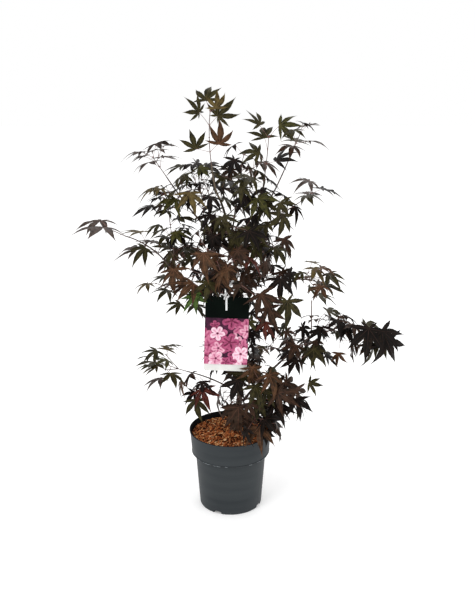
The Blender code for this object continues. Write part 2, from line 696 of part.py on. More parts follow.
def make_compost():
    """The filling, level where the trunk stands and uneven towards the wall."""
    rng = random.Random(SOIL_SEED)
    floor = FLOOR + CLEAR
    profile = [(0, floor)]
    profile += [(radius - CLEAR, height + CLEAR) for radius, height in reversed(pot_inside()[2:-1])]
    edge = inner_radius(SOIL_LEVEL - SOIL_EDGE_DROP) - 2 * CLEAR
    profile.append((edge, SOIL_LEVEL - SOIL_EDGE_DROP))
    for ring in range(1, SOIL_RINGS):
        share = ring / SOIL_RINGS
        profile.append((edge + (SOIL_PLATEAU - edge) * share, SOIL_LEVEL + SOIL_MOUND * (share - 1 / 3)))
    profile += [(SOIL_PLATEAU, SOIL_LEVEL + SOIL_MOUND), (0, SOIL_LEVEL + SOIL_MOUND)]
    vertices, faces = turned(profile, POT_SEGMENTS)
    for point in vertices:
        radius = math.hypot(point.x, point.y)
        between = SOIL_PLATEAU + WALL < radius < edge - WALL
        if between and point.z > SOIL_LEVEL - SOIL_MOUND:
            point.z += rng.uniform(-SOIL_UNEVENNESS, SOIL_UNEVENNESS)
    compost = add_object("compost", vertices, faces, "compost")
    outward(compost)
    smooth(compost)


def label_shape():
    """The card: a thin plate with small round corners."""
    rim = []
    right = LABEL_WIDTH / 2 - LABEL_CORNER
    low = -LABEL_HEIGHT + LABEL_CORNER
    middles = ((right, -LABEL_CORNER), (-right, -LABEL_CORNER), (-right, low), (right, low))
    for quarter, (x, z) in enumerate(middles):
        for step in range(3):
            angle = math.radians(90 * quarter + 45 * step)
            rim.append((x + LABEL_CORNER * math.cos(angle), z + LABEL_CORNER * math.sin(angle)))
    count = len(rim)
    half = LABEL_THICKNESS / 2
    frame = Matrix.Translation(LABEL_TOP) @ Matrix.Rotation(math.radians(LABEL_TURN), 4, "Y")
    vertices = [frame @ Vector((x, y, z)) for y in (-half, half) for x, z in rim]
    faces = [tuple(range(count)), tuple(reversed(range(count, 2 * count)))]
    for index in range(count):
        after = (index + 1) % count
        faces.append((after, index, index + count, after + count))
    return vertices, faces


def strap_shape():
    """A flat strap that laps the card's top, front and back, and loops round the trunk behind it."""
    front = LABEL_TOP.y - LABEL_THICKNESS / 2 - STRAP_THICKNESS / 2 - CLEAR
    back = LABEL_TOP.y + LABEL_THICKNESS / 2 + STRAP_THICKNESS / 2 + CLEAR
    top = LABEL_TOP.z
    level = STRAP_LOOP.z
    upright = Vector((0, 0, 1))
    sideways = Vector((1, 0, 0))
    gap = TRUNK_FORK_RADIUS + STRAP_THICKNESS / 2 + STRAP_LOOP_GAP
    # each knot of the middle line, with the way the band's width lies there
    knots = [
        (Vector((STRAP_X, front, top - STRAP_FRONT_LAP)), sideways),
        (Vector((STRAP_X, front, top - 0.004)), sideways),
        (Vector((STRAP_X, front + 0.002, top + 0.006)), sideways),
        (Vector((STRAP_X + 0.002, -0.056, level - 0.006)), sideways + upright * 0.4),
        (Vector((0.000, -0.030, level - 0.001)), sideways * 0.4 + upright),
    ]
    for degrees in range(190, 0, -30):
        angle = math.radians(degrees)
        knots.append((STRAP_LOOP + Vector((math.cos(angle), math.sin(angle), 0)) * gap, upright))
    knots += [
        (Vector((0.013, -0.030, level - 0.001)), upright - sideways * 0.4),
        (Vector((0.002, -0.056, level - 0.006)), sideways * -1 + upright * 0.4),
        (Vector((STRAP_X, back + 0.0015, top + 0.006)), sideways * -1),
        (Vector((STRAP_X, back, top - 0.004)), sideways * -1),
        (Vector((STRAP_X, back, top - STRAP_BACK_LAP)), sideways * -1),
    ]
    points = [knot[0] for knot in knots]
    count = 2 * len(points) - 1
    path = smooth_line(points, count)
    widths = smooth_line([knot[1] for knot in knots], count)
    vertices = []
    for index, (point, width) in enumerate(zip(path, widths)):
        along = (path[min(index + 1, len(path) - 1)] - path[max(index - 1, 0)]).normalized()
        across = (width - along * width.dot(along)).normalized() * STRAP_WIDTH / 2
        thick = along.cross(across).normalized() * STRAP_THICKNESS / 2
        for corner in (across + thick, thick - across, -across - thick, across - thick):
            vertices.append(point + corner)
    faces = [(3, 2, 1, 0)]
    for ring in range(len(path) - 1):
        for side in range(4):
            here = ring * 4 + side
            beside = ring * 4 + (side + 1) % 4
            faces.append((here, beside, beside + 4, here + 4))
    last = (len(path) - 1) * 4
    faces.append((last, last + 1, last + 2, last + 3))
    return vertices, faces


def label_view():
    """The space in front of the label that no leaf grows into, so its face stays in sight."""
    half = LABEL_WIDTH / 2 + LABEL_VIEW_MARGIN
    front = LABEL_TOP.y - LABEL_VIEW_MARGIN
    corners = []
    for away in (0, LABEL_VIEW_DEPTH):
        climb = LABEL_VIEW_CLIMB * away
        for drop in LABEL_VIEW_DROP:
            for x in (-half, half):
                corners.append(Vector((LABEL_TOP.x + x, front - away, LABEL_TOP.z - drop + climb)))
    faces = [(0, 1, 3, 2), (4, 6, 7, 5), (0, 4, 5, 1), (2, 3, 7, 6), (0, 2, 6, 4), (1, 5, 7, 3)]
    return corners, faces


# ---- fusing each mass ---------------------------------------------------------------------------
def keep_main_body(mesh):
    """Drop scraps that stand loose and the walls of sealed hollows, and keep the one outer skin."""
    shape = bmesh.new()
    shape.from_mesh(mesh)
    left = set(shape.faces)
    bodies = []
    while left:
        body = [left.pop()]
        for face in body:
            for edge in face.edges:
                for other in edge.link_faces:
                    if other in left:
                        left.remove(other)
                        body.append(other)
        bodies.append(body)
    bodies.sort(key=len)
    for body in bodies[:-1]:
        bmesh.ops.delete(shape, geom=body, context="FACES")
    shape.to_mesh(mesh)
    shape.free()


def make_spray(name, spray):
    """One solid: the stem, with its side twigs, stalks and blades fused on by one union."""
    others = bpy.data.collections.new(name + "_pieces")
    bpy.context.scene.collection.children.link(others)
    pieces = [tube(path, radii, 3) for path, radii in spray.twigs[1:]]
    for leaf in spray.leaves:
        pieces.append(leaf.solid(LEAF_HUB_THICKNESS / 2, PETIOLE_RADIUS))
    for index, (vertices, faces) in enumerate(pieces):
        piece = add_object(f"{name}_piece_{index}", vertices, faces, "foliage")
        bpy.context.scene.collection.objects.unlink(piece)
        others.objects.link(piece)
    obj = add_object(name, *tube(*spray.twigs[0], 3), "foliage")
    union = obj.modifiers.new("fuse", "BOOLEAN")
    union.operation = "UNION"
    union.operand_type = "COLLECTION"
    union.collection = others
    union.solver = "MANIFOLD"
    bpy.context.view_layer.update()
    fused = bpy.data.meshes.new_from_object(obj.evaluated_get(bpy.context.evaluated_depsgraph_get()))
    obj.modifiers.remove(union)
    obj.data = fused
    for piece in list(others.objects):
        bpy.data.objects.remove(piece, do_unlink=True)
    bpy.data.collections.remove(others)
    keep_main_body(fused)


def soil_cover():
    """A plain shape over the filling, that leaves are tried against in its place."""
    wide = inner_radius(SOIL_LEVEL) - WALL
    return turned([(0, STEP_HEIGHT), (wide, STEP_HEIGHT), (wide, SOIL_LEVEL + SOIL_MOUND),
                   (0, SOIL_LEVEL + SOIL_MOUND + WALL)], POT_SEGMENTS)


def main():
    clear_scene()
    make_pot()
    make_compost()
    label = label_shape()
    strap = strap_shape()
    pot = turned(pot_outside() + pot_inside(), POT_SEGMENTS)
    stands = [pot, soil_cover(), label, strap, label_view()]
    add_object("label", *label, "label")
    add_object("label_strap", *strap, "strap")
    limbs, sprays = grow_plant(stands)
    for name, limb in limbs.items():
        sides = TRUNK_SIDES if name == "trunk" else BOUGH_SIDES
        first_up = Vector((0, 0, 1)) if name == "trunk" else None
        obj = add_object(name, *tube(limb.path, limb.radii, sides, first_up), "bark")
        smooth(obj)
    for name, spray in sprays.items():
        make_spray(name, spray)


if __name__ == "__main__":
    main()
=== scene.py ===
"""The looks of a young purple-leaved Japanese maple in a nursery pot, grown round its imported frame.

Metres, +Z up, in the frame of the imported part.  The growth rule and its named sizes are the source's,
written again here with the same order of random draws, so each leaf's stalk stands where its solid does.
Finer twigs and smaller leaves then fill the crown within the same reach.
"""
import itertools
import math
import random
from collections import namedtuple

import bmesh
import bpy
import numpy as np
from mathutils import Matrix, Quaternion, Vector, noise
from mathutils.bvhtree import BVHTree


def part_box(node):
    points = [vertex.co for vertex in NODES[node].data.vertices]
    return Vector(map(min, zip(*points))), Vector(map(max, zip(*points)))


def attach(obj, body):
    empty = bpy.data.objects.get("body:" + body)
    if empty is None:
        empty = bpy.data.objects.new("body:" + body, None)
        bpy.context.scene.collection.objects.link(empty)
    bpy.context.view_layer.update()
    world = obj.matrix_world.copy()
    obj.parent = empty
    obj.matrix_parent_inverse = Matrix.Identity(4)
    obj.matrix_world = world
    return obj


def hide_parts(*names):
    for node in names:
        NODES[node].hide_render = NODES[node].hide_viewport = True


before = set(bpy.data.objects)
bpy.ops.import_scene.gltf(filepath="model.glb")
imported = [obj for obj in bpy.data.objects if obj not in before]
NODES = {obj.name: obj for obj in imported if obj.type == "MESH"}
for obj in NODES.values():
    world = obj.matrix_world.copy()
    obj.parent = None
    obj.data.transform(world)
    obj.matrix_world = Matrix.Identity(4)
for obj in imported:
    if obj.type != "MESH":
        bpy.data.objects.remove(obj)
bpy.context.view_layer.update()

# ---- the source's sizes, written again ----------------------------------------------------------
RIM_RADIUS = 0.095
POT_HEIGHT = 0.187
COLLAR_RADIUS = 0.0895
COLLAR_DEPTH = 0.054
BODY_TOP_RADIUS = 0.0815
BASE_RADIUS = 0.0725
STEP_HEIGHT = POT_HEIGHT - COLLAR_DEPTH
WALL = 0.0016
FLOOR = 0.0025
RIM_LIP = 0.0014
RIM_WIDTH = 0.0026
POT_SEGMENTS = 32
SOIL_LEVEL = 0.177
SOIL_MOUND = 0.003
SOIL_EDGE_DROP = 0.004
SOIL_PLATEAU = 0.031
# the gap left between neighbouring solids
CLEAR = 0.0003

TRUNK_FOOT_RADIUS = 0.0072
TRUNK_FORK_RADIUS = 0.0038
TRUNK_TIP_RADIUS = 0.0015
FORK_HEIGHT = 0.575
ROOT_FLARE = 0.0045
FLARE_HEIGHT = 0.018
# the trunk's lean, from the cut at soil level past the fork to the leader's tip: height, x, y
TRUNK_LINE = (
    (SOIL_LEVEL + SOIL_MOUND + CLEAR, 0.012, 0.012), (0.255, 0.020, 0.008), (0.340, 0.023, 0.000),
    (0.430, 0.018, -0.002), (0.510, 0.013, 0.003), (0.575, 0.011, 0.004), (0.640, -0.003, 0.000),
    (0.700, -0.012, -0.004), (0.750, -0.031, -0.004), (0.800, -0.039, 0.000),
)
TRUNK_RINGS = 17
TRUNK_SIDES = 8
BOUGH_SIDES = 6
BOUGH_STEP = 0.04
LEAST_BOUGH_STEPS = 3

# Each bough: what it grows from, and the height on the trunk or the share of another bough where it
# leaves, then its heading and rise there, how much the heading swings and the rise arches by its tip,
# its length, and its radii at base and tip.
BOUGHS = {
    "right_stem": ("trunk", 0.580, 12, 62, -10, 22, 0.200, 0.0030, 0.0015),
    "right_outer_bough": ("right_stem", 0.50, -8, 60, 0, 8, 0.145, 0.0019, 0.0011),
    "right_upper_bough": ("right_stem", 0.30, -14, 48, 16, -16, 0.112, 0.0019, 0.0011),
    "right_middle_bough": ("trunk", 0.515, -18, 42, 20, -50, 0.130, 0.0022, 0.0012),
    "right_low_bough": ("trunk", 0.255, -8, 53, 10, -12, 0.205, 0.0030, 0.0019),
    "far_right_bough": ("right_low_bough", 1.0, 0, 0, -14, -58, 0.095, 0.0018, 0.0011),
    "upper_left_bough": ("trunk", 0.612, 184, 45, -8, 12, 0.210, 0.0026, 0.0012),
    "long_left_bough": ("trunk", 0.400, 192, 38, -10, 26, 0.215, 0.0032, 0.0020),
    "far_left_bough": ("long_left_bough", 1.0, 0, 0, 6, -44, 0.140, 0.0018, 0.0011),
    "left_middle_bough": ("trunk", 0.450, 170, 42, 6, -26, 0.125, 0.0021, 0.0012),
    "lower_left_bough": ("trunk", 0.275, 198, 40, -8, -22, 0.130, 0.0020, 0.0012),
    "front_right_bough": ("trunk", 0.525, 298, 36, 4, -44, 0.070, 0.0022, 0.0012),
    "front_left_bough": ("trunk", 0.535, 230, 48, -6, -40, 0.090, 0.0021, 0.0012),
    "back_upper_bough": ("trunk", 0.630, 78, 50, 10, -26, 0.150, 0.0021, 0.0011),
    "back_right_bough": ("trunk", 0.490, 72, 44, -4, -36, 0.165, 0.0024, 0.0012),
    "back_left_bough": ("trunk", 0.480, 116, 46, 8, -36, 0.175, 0.0024, 0.0012),
    "back_middle_bough": ("trunk", 0.380, 92, 42, 0, -40, 0.170, 0.0025, 0.0012),
    "back_low_bough": ("trunk", 0.285, 62, 34, 8, -34, 0.130, 0.0021, 0.0012),
}

# Each foliage mass: the limb that its stem meets, and the height or share there (1 is the limb's tip,
# where the stem carries on the limb's own direction), heading, rise, swing, arch and length of the stem,
# how many nodes it has before its tip, how many of those bear side twigs, the leaf length, how many
# degrees the leaves hang, how many the blades tip to the front, and the seed of its own growth.
MASSES = {
    "top_spray": ("trunk", 1.0, 0, 0, 0, 16, 0.112, 3, 0, 0.054, -64, 45, 2),
    "leader_left_spray": ("trunk", 0.715, 172, 38, 0, -24, 0.080, 2, 2, 0.054, 35, 14, 6),
    "leader_right_spray": ("trunk", 0.690, 8, 44, 0, -20, 0.085, 2, 2, 0.054, 40, 16, 5),
    "leader_front_spray": ("trunk", 0.660, 282, 34, 0, -34, 0.085, 2, 2, 0.057, 45, 16, 7),
    "right_stem_spray": ("right_stem", 1.0, 0, 0, 0, 4, 0.085, 2, 0, 0.055, -30, 40, 11),
    "right_stem_inner_spray": ("right_stem", 0.60, 292, 26, 0, -30, 0.070, 2, 1, 0.055, 45, 16, 52),
    "right_top_spray": ("right_outer_bough", 1.0, 0, 0, 0, 0, 0.070, 2, 0, 0.051, -5, 10, 13),
    "right_upper_spray": ("right_upper_bough", 1.0, 0, 0, 0, 6, 0.055, 1, 0, 0.054, 10, 12, 14),
    "right_shoulder_spray": ("right_upper_bough", 0.30, 285, 8, 0, -50, 0.045, 2, 1, 0.055, 50, 14, 61),
    "right_middle_spray": ("right_middle_bough", 1.0, 0, 0, 0, 4, 0.055, 1, 1, 0.057, 20, 12, 16),
    "right_inner_spray": ("trunk", 0.540, 335, 30, 0, -30, 0.095, 2, 2, 0.060, 55, 16, 17),
    "right_low_spray": ("right_low_bough", 0.66, 345, 34, 0, -40, 0.070, 2, 1, 0.054, 35, 14, 18),
    "right_low_upper_spray": ("far_right_bough", 0.15, 30, 40, 0, -50, 0.055, 2, 1, 0.054, 25, 6, 19),
    "far_right_spray": ("far_right_bough", 1.0, 0, 0, 0, 8, 0.090, 3, 3, 0.061, 30, 14, 20),
    "lower_right_spray": ("trunk", 0.292, 312, 30, 0, -44, 0.105, 3, 3, 0.058, 46, 16, 21),
    "upper_left_spray": ("upper_left_bough", 1.0, 0, 0, 0, 0, 0.050, 1, 0, 0.051, 5, 0, 22),
    "upper_left_side_spray": ("upper_left_bough", 0.66, 196, 24, 0, -10, 0.050, 1, 0, 0.053, 8, 0, 23),
    "upper_left_inner_spray": ("upper_left_bough", 0.38, 110, 74, 0, -14, 0.100, 2, 2, 0.054, 30, 15, 24),
    "left_rising_spray": ("long_left_bough", 0.98, 172, 84, 0, 0, 0.150, 3, 0, 0.055, 4, 14, 42),
    "far_left_spray": ("far_left_bough", 1.0, 0, 0, 0, 10, 0.036, 0, 0, 0.075, 6, 10, 25),
    "long_left_side_spray": ("far_left_bough", 0.30, 150, 42, 0, -30, 0.050, 1, 0, 0.054, 12, 24, 26),
    "centre_left_spray": ("trunk", 0.575, 205, 24, 0, -40, 0.085, 2, 2, 0.057, 45, 16, 43),
    "left_middle_spray": ("left_middle_bough", 1.0, 0, 0, 0, 0, 0.070, 2, 0, 0.053, 4, 0, 27),
    "left_middle_side_spray": ("long_left_bough", 0.55, 205, 58, 0, -10, 0.030, 1, 0, 0.051, 20, 12, 28),
    "lower_left_spray": ("lower_left_bough", 1.0, 0, 0, 0, 10, 0.070, 2, 1, 0.054, 10, 0, 29),
    "lower_left_hanging_spray": ("lower_left_bough", 0.55, 215, 0, 0, -30, 0.045, 1, 0, 0.053, 45, 16, 50),
    "foot_right_spray": ("trunk", 0.262, 284, 24, 0, -60, 0.080, 3, 2, 0.062, 46, 16, 31),
    "foot_left_spray": ("trunk", 0.282, 238, 20, 0, -50, 0.055, 2, 1, 0.053, 45, 16, 32),
    "front_upper_spray": ("trunk", 0.592, 262, 44, -14, -60, 0.140, 3, 3, 0.058, 48, 16, 33),
    "front_right_spray": ("front_right_bough", 1.0, 0, 0, 0, -20, 0.060, 2, 2, 0.062, 55, 16, 34),
    "front_left_spray": ("front_left_bough", 1.0, 0, 0, 0, -16, 0.070, 2, 2, 0.057, 38, 14, 35),
    "back_upper_spray": ("back_upper_bough", 1.0, 0, 0, 0, -10, 0.075, 2, 2, 0.055, 40, 0, 36),
    "back_right_spray": ("back_right_bough", 1.0, 0, 0, 0, -20, 0.080, 2, 2, 0.057, 40, 0, 37),
    "back_left_spray": ("back_left_bough", 1.0, 0, 0, 0, -20, 0.080, 2, 2, 0.057, 40, 0, 38),
    "back_middle_spray": ("back_middle_bough", 1.0, 0, 0, 0, -20, 0.080, 2, 2, 0.057, 40, 0, 39),
    "back_low_spray": ("back_low_bough", 1.0, 0, 0, 0, -20, 0.080, 2, 2, 0.055, 45, 0, 40),
    "back_low_left_spray": ("trunk", 0.300, 108, 36, 0, -40, 0.150, 3, 2, 0.055, 40, 0, 41),
}
STEM_RADIUS = 0.0010
TWIG_RADIUS = 0.0009
TWIG_TIP_RADIUS = 0.0008
PETIOLE_RADIUS = 0.0005
PETIOLE_LENGTH = 0.032
SIDE_TWIG_LENGTH = 0.048
# the leaf blade, from its hub: degrees off the middle lobe and distance in leaf lengths, for the lobe
# tips and the cuts between them, from one side of the stalk round to the other
LEAF_OUTLINE = (
    (-150, 0.06), (-88, 0.64), (-64, 0.27), (-43, 0.90), (-21, 0.31), (0, 1.00),
    (21, 0.31), (43, 0.90), (64, 0.27), (88, 0.64), (150, 0.06),
)
LEAF_HUB_THICKNESS = 0.0018
LOBE_DROOP = 0.22
# no leaf or twig passes this box round the whole plant: lowest and highest corner
CROWN = (Vector((-0.345, -0.300, 0.183)), Vector((0.398, 0.300, 0.973)))
LEAF_TRIES = 14
# how a leaf stands on its twig, each a range that is drawn from: how far its stalk points out from the
# twig, along it and up, the stalk's and the blade's size, and the blade's yaw, nod and roll in degrees
STALK_OUT = (0.75, 1.05)
STALK_ALONG = (0.35, 0.95)
STALK_UP = (-0.15, 0.55)
STALK_SIZE = (0.70, 1.10)
LEAF_SIZE = (0.82, 1.10)
LEAF_YAW = 28
LEAF_NOD = 28
LEAF_ROLL = 32
# opposite pairs stand level and upright by turns
PAIR_TURNS = (58, 12)
PAIR_SPREAD = 12
# a twig that runs less level than this is taken as upright
NEAR_UPRIGHT = 0.2
# a side twig's size, how far it points out from the stem, along it and up, and its leaf pair's turn
SIDE_TWIG_SIZE = (0.75, 1.15)
SIDE_TWIG_OUT = 0.8
SIDE_TWIG_ALONG = 0.75
SIDE_TWIG_UP = (-0.2, 0.3)
SIDE_PAIR_SPREAD = 25
# the heading of the plant's front
FRONT = 270
# a twig or stalk is tried a little fat, past its own root, and its root starts inside what bears it
TRIAL_MARGIN = 0.0007
TRIAL_ROOT = 0.006
ROOT_BACK = 0.0016
ROOT_OUT = 0.0002
LEAF_SLAB = LEAF_HUB_THICKNESS / 2 + TRIAL_MARGIN / 2

# the card hangs from the middle of its top edge, turned a little in its own plane
LABEL_WIDTH = 0.094
LABEL_HEIGHT = 0.170
LABEL_THICKNESS = 0.0007
LABEL_TOP = Vector((-0.005, -0.074, 0.531))
LABEL_TURN = 2.0
LABEL_CORNER = 0.003
# the space in front of the card that no leaf grows into: its bottom and top below the card's top edge,
# how far it comes forward and how much it climbs on the way, and how much wider it is than the card
LABEL_VIEW_DROP = (0.150, 0.022)
LABEL_VIEW_DEPTH = 0.24
LABEL_VIEW_CLIMB = 0.34
LABEL_VIEW_MARGIN = 0.004
STRAP_THICKNESS = 0.0008
STRAP_X = -0.0075


# ---- shapes from lines and outlines -------------------------------------------------------------
def circle(sides):
    """The cosines and sines of even steps round a circle."""
    angles = [2 * math.pi * side / sides for side in range(sides)]
    return [(math.cos(angle), math.sin(angle)) for angle in angles]


def framed(path):
    """Each point of a path with two ways square to it, carried along without twist."""
    across = (path[1] - path[0]).normalized().orthogonal().normalized()
    rows = []
    for index, point in enumerate(path):
        tangent = (path[min(index + 1, len(path) - 1)] - path[max(index - 1, 0)]).normalized()
        across = (across - tangent * across.dot(tangent)).normalized()
        rows.append((point, across, tangent.cross(across)))
    return rows


def tube_faces(rings, sides):
    """The faces of a closed tube, whose rings of points follow each other."""
    last = (rings - 1) * sides
    faces = [tuple(reversed(range(sides)))]
    for first in range(0, last, sides):
        for side in range(sides):
            here, beside = first + side, first + (side + 1) % sides
            faces.append((here, beside, beside + sides, here + sides))
    return faces + [tuple(range(last, last + sides))]


def tube(path, radii, sides):
    """Vertices and faces of a closed tube along a path."""
    vertices = [point + (across * x + other * y) * radius
                for (point, across, other), radius in zip(framed(path), radii) for x, y in circle(sides)]
    return vertices, tube_faces(len(path), sides)


def prism(near, far):
    """Vertices and faces of the solid between two like outlines."""
    count = len(near)
    faces = [tuple(range(count)), tuple(reversed(range(count, 2 * count)))]
    for corner in range(count):
        after = (corner + 1) % count
        faces.append((corner + count, after + count, after, corner))
    return near + far, faces


def turned(profile, segments):
    """A closed solid turned about +Z from a closed outline of (radius, height), listed anticlockwise."""
    vertices = []
    rows = []
    for radius, height in profile:
        first = len(vertices)
        ring = circle(segments) if radius else [(0, 0)]
        vertices += [Vector((radius * x, radius * y, height)) for x, y in ring]
        rows.append([first + index % len(ring) for index in range(segments)])
    faces = []
    for row, following in zip(rows, rows[1:] + rows[:1]):
        for index in range(segments):
            after = (index + 1) % segments
            corners = tuple(dict.fromkeys((row[index], row[after], following[after], following[index])))
            if len(corners) > 2:
                faces.append(corners)
    return vertices, faces


def direction(heading, rise):
    heading = math.radians(heading)
    rise = math.radians(rise)
    flat = math.cos(rise)
    return Vector((flat * math.cos(heading), flat * math.sin(heading), math.sin(rise)))


def heading_and_rise(vector):
    vector = vector.normalized()
    return math.degrees(math.atan2(vector.y, vector.x)), math.degrees(math.asin(vector.z))


def arc(start, heading, rise, swing, arch, length, steps):
    """A centre line whose heading swings and whose rise arches evenly along it."""
    points = [start.copy()]
    for step in range(steps):
        share = (step + 0.5) / steps
        points.append(points[-1] + direction(heading + swing * share, rise + arch * share) * length / steps)
    return points


def smooth_line(knots, count):
    """Evenly numbered points on a Catmull-Rom curve through the knots."""
    ends = [2 * knots[0] - knots[1]] + list(knots) + [2 * knots[-1] - knots[-2]]
    points = []
    for index in range(count):
        place = index / (count - 1) * (len(knots) - 1)
        span = min(int(place), len(knots) - 2)
        t = place - span
        a, b, c, d = ends[span:span + 4]
        points.append(0.5 * (2 * b + (c - a) * t + (2 * a - 5 * b + 4 * c - d) * t * t
                             + (3 * b - a - 3 * c + d) * t * t * t))
    return points


def length_of(path):
    return sum((b - a).length for a, b in zip(path, path[1:]))


# ---- trunk and boughs ---------------------------------------------------------------------------
class Limb:
    """A tapering centre line: the trunk, a bough, a stem or a twig."""

    def __init__(self, path, radii):
        self.path = path
        self.radii = list(radii)

    def share_at(self, height):
        """The share of an upright limb's length at a height."""
        for index in range(len(self.path) - 1):
            low, high = self.path[index].z, self.path[index + 1].z
            if low <= height < high:
                return (index + (height - low) / (high - low)) / (len(self.path) - 1)
        return 1.0

    def at(self, share):
        """The point, the direction and the radius at a share of the limb's length."""
        place = share * (len(self.path) - 1)
        index = min(int(place), len(self.path) - 2)
        part = place - index
        here, after = self.path[index], self.path[index + 1]
        radius = self.radii[index] * (1 - part) + self.radii[index + 1] * part
        return here.lerp(after, part), (after - here).normalized(), radius


def leave(limbs, name, place, heading, rise, radius):
    """Where a round stem of this radius starts, just clear of its limb, and its heading and rise."""
    limb = limbs[name]
    share = limb.share_at(place) if name == "trunk" else place
    point, along, limb_radius = limb.at(share)
    if share >= 1:
        return point + along * CLEAR, *heading_and_rise(along)
    way = direction(heading, rise)
    off = (way - along * way.dot(along)).normalized()
    lean = math.sqrt(max(0.0, 1 - way.dot(off) ** 2))
    return point + off * (limb_radius + CLEAR + radius * lean), heading, rise


def grow_trunk():
    path = smooth_line([Vector((x, y, height)) for height, x, y in TRUNK_LINE], TRUNK_RINGS)
    foot = path[0].z
    radii = []
    for point in path:
        if point.z < FORK_HEIGHT:
            share = (point.z - foot) / (FORK_HEIGHT - foot)
            radius = TRUNK_FOOT_RADIUS + (TRUNK_FORK_RADIUS - TRUNK_FOOT_RADIUS) * share
        else:
            share = (point.z - FORK_HEIGHT) / (path[-1].z - FORK_HEIGHT)
            radius = TRUNK_FORK_RADIUS + (TRUNK_TIP_RADIUS - TRUNK_FORK_RADIUS) * share
        radii.append(radius + ROOT_FLARE * math.exp(-(point.z - foot) / FLARE_HEIGHT))
    return Limb(path, radii)


def grow_limbs():
    limbs = {"trunk": grow_trunk()}
    for name, (parent, place, heading, rise, swing, arch, length, base, tip) in BOUGHS.items():
        start, heading, rise = leave(limbs, parent, place, heading, rise, base)
        steps = LEAST_BOUGH_STEPS + round(length / BOUGH_STEP)
        path = arc(start, heading, rise, swing, arch, length, steps)
        limbs[name] = Limb(path, [base + (tip - base) * index / steps for index in range(steps + 1)])
    return limbs


# ---- the space that growth keeps clear of -------------------------------------------------------
def ball(vertices):
    """The middle of some points, and how far they reach from it."""
    middle = sum(vertices, Vector()) / len(vertices)
    return middle, max((point - middle).length for point in vertices)


class Taken:
    """Solids already there, each with a ball round it, so a leaf or twig can be tried against them."""

    def __init__(self):
        self.solids = []

    def add(self, vertices, faces):
        self.solids.append((*ball(vertices), BVHTree.FromPolygons(vertices, faces)))

    def meets(self, vertices, faces):
        middle, reach = ball(vertices)
        tree = None
        for other_middle, other_reach, other in self.solids:
            if (middle - other_middle).length > reach + other_reach:
                continue
            tree = tree or BVHTree.FromPolygons(vertices, faces)
            if tree.overlap(other):
                return True
        return False


def inside(vertices, low, high):
    return all(low[axis] < point[axis] < high[axis] for point in vertices for axis in range(3))


# ---- the growth rule ----------------------------------------------------------------------------
class Leaf(namedtuple("Leaf", "root hub forward normal length")):
    """A blade on its stalk: the stalk's root, the hub where they meet, the blade's frame and length."""

    def levelled(self, share):
        """The same leaf with its blade turned about its hub, part of the way to lying level."""
        turn = Quaternion().slerp(self.normal.rotation_difference(Vector((0, 0, 1))), share)
        return self._replace(forward=turn @ self.forward, normal=turn @ self.normal)

    def slab(self, half):
        """The blade with an even thickness, each lobe sinking as it goes out, to try it for room."""
        side = self.normal.cross(self.forward)
        rim = []
        for degrees, share in LEAF_OUTLINE:
            angle = math.radians(degrees)
            out = self.forward * math.cos(angle) + side * math.sin(angle)
            rim.append(self.hub + (out * share - self.normal * LOBE_DROOP * share * share) * self.length)
        count = len(rim)
        vertices = [point + self.normal * half for point in rim]
        vertices += [point - self.normal * half for point in rim]
        vertices += [self.hub + self.normal * half, self.hub - self.normal * half]
        faces = []
        for index in range(count):
            after = (index + 1) % count
            faces.append((index, after, 2 * count))
            faces.append((count + after, count + index, 2 * count + 1))
            faces.append((index, count + index, count + after, after))
        return vertices, faces


def trial_stalk(root, hub):
    """A stalk as it is tried: a little fat, and started past its own root."""
    way = (hub - root).normalized()
    return tube([root + way * TRIAL_ROOT, hub], [PETIOLE_RADIUS + TRIAL_MARGIN] * 2, 3)


def pair_axes(along, turn):
    """Two opposite ways off a stem, level when turn is 0 and upright at 90."""
    level = along.cross(Vector((0, 0, 1)))
    if level.length < NEAR_UPRIGHT:
        level = along.cross(Vector((0, 1, 0)))
    level.normalize()
    upright = level.cross(along).normalized()
    angle = math.radians(turn)
    way = level * math.cos(angle) + upright * math.sin(angle)
    return way, -way


class Spray:
    """One foliage mass: its twigs with the stem first, its leaves and the smaller ones added here."""

    def __init__(self):
        self.twigs = []
        self.leaves = []
        self.small_leaves = []


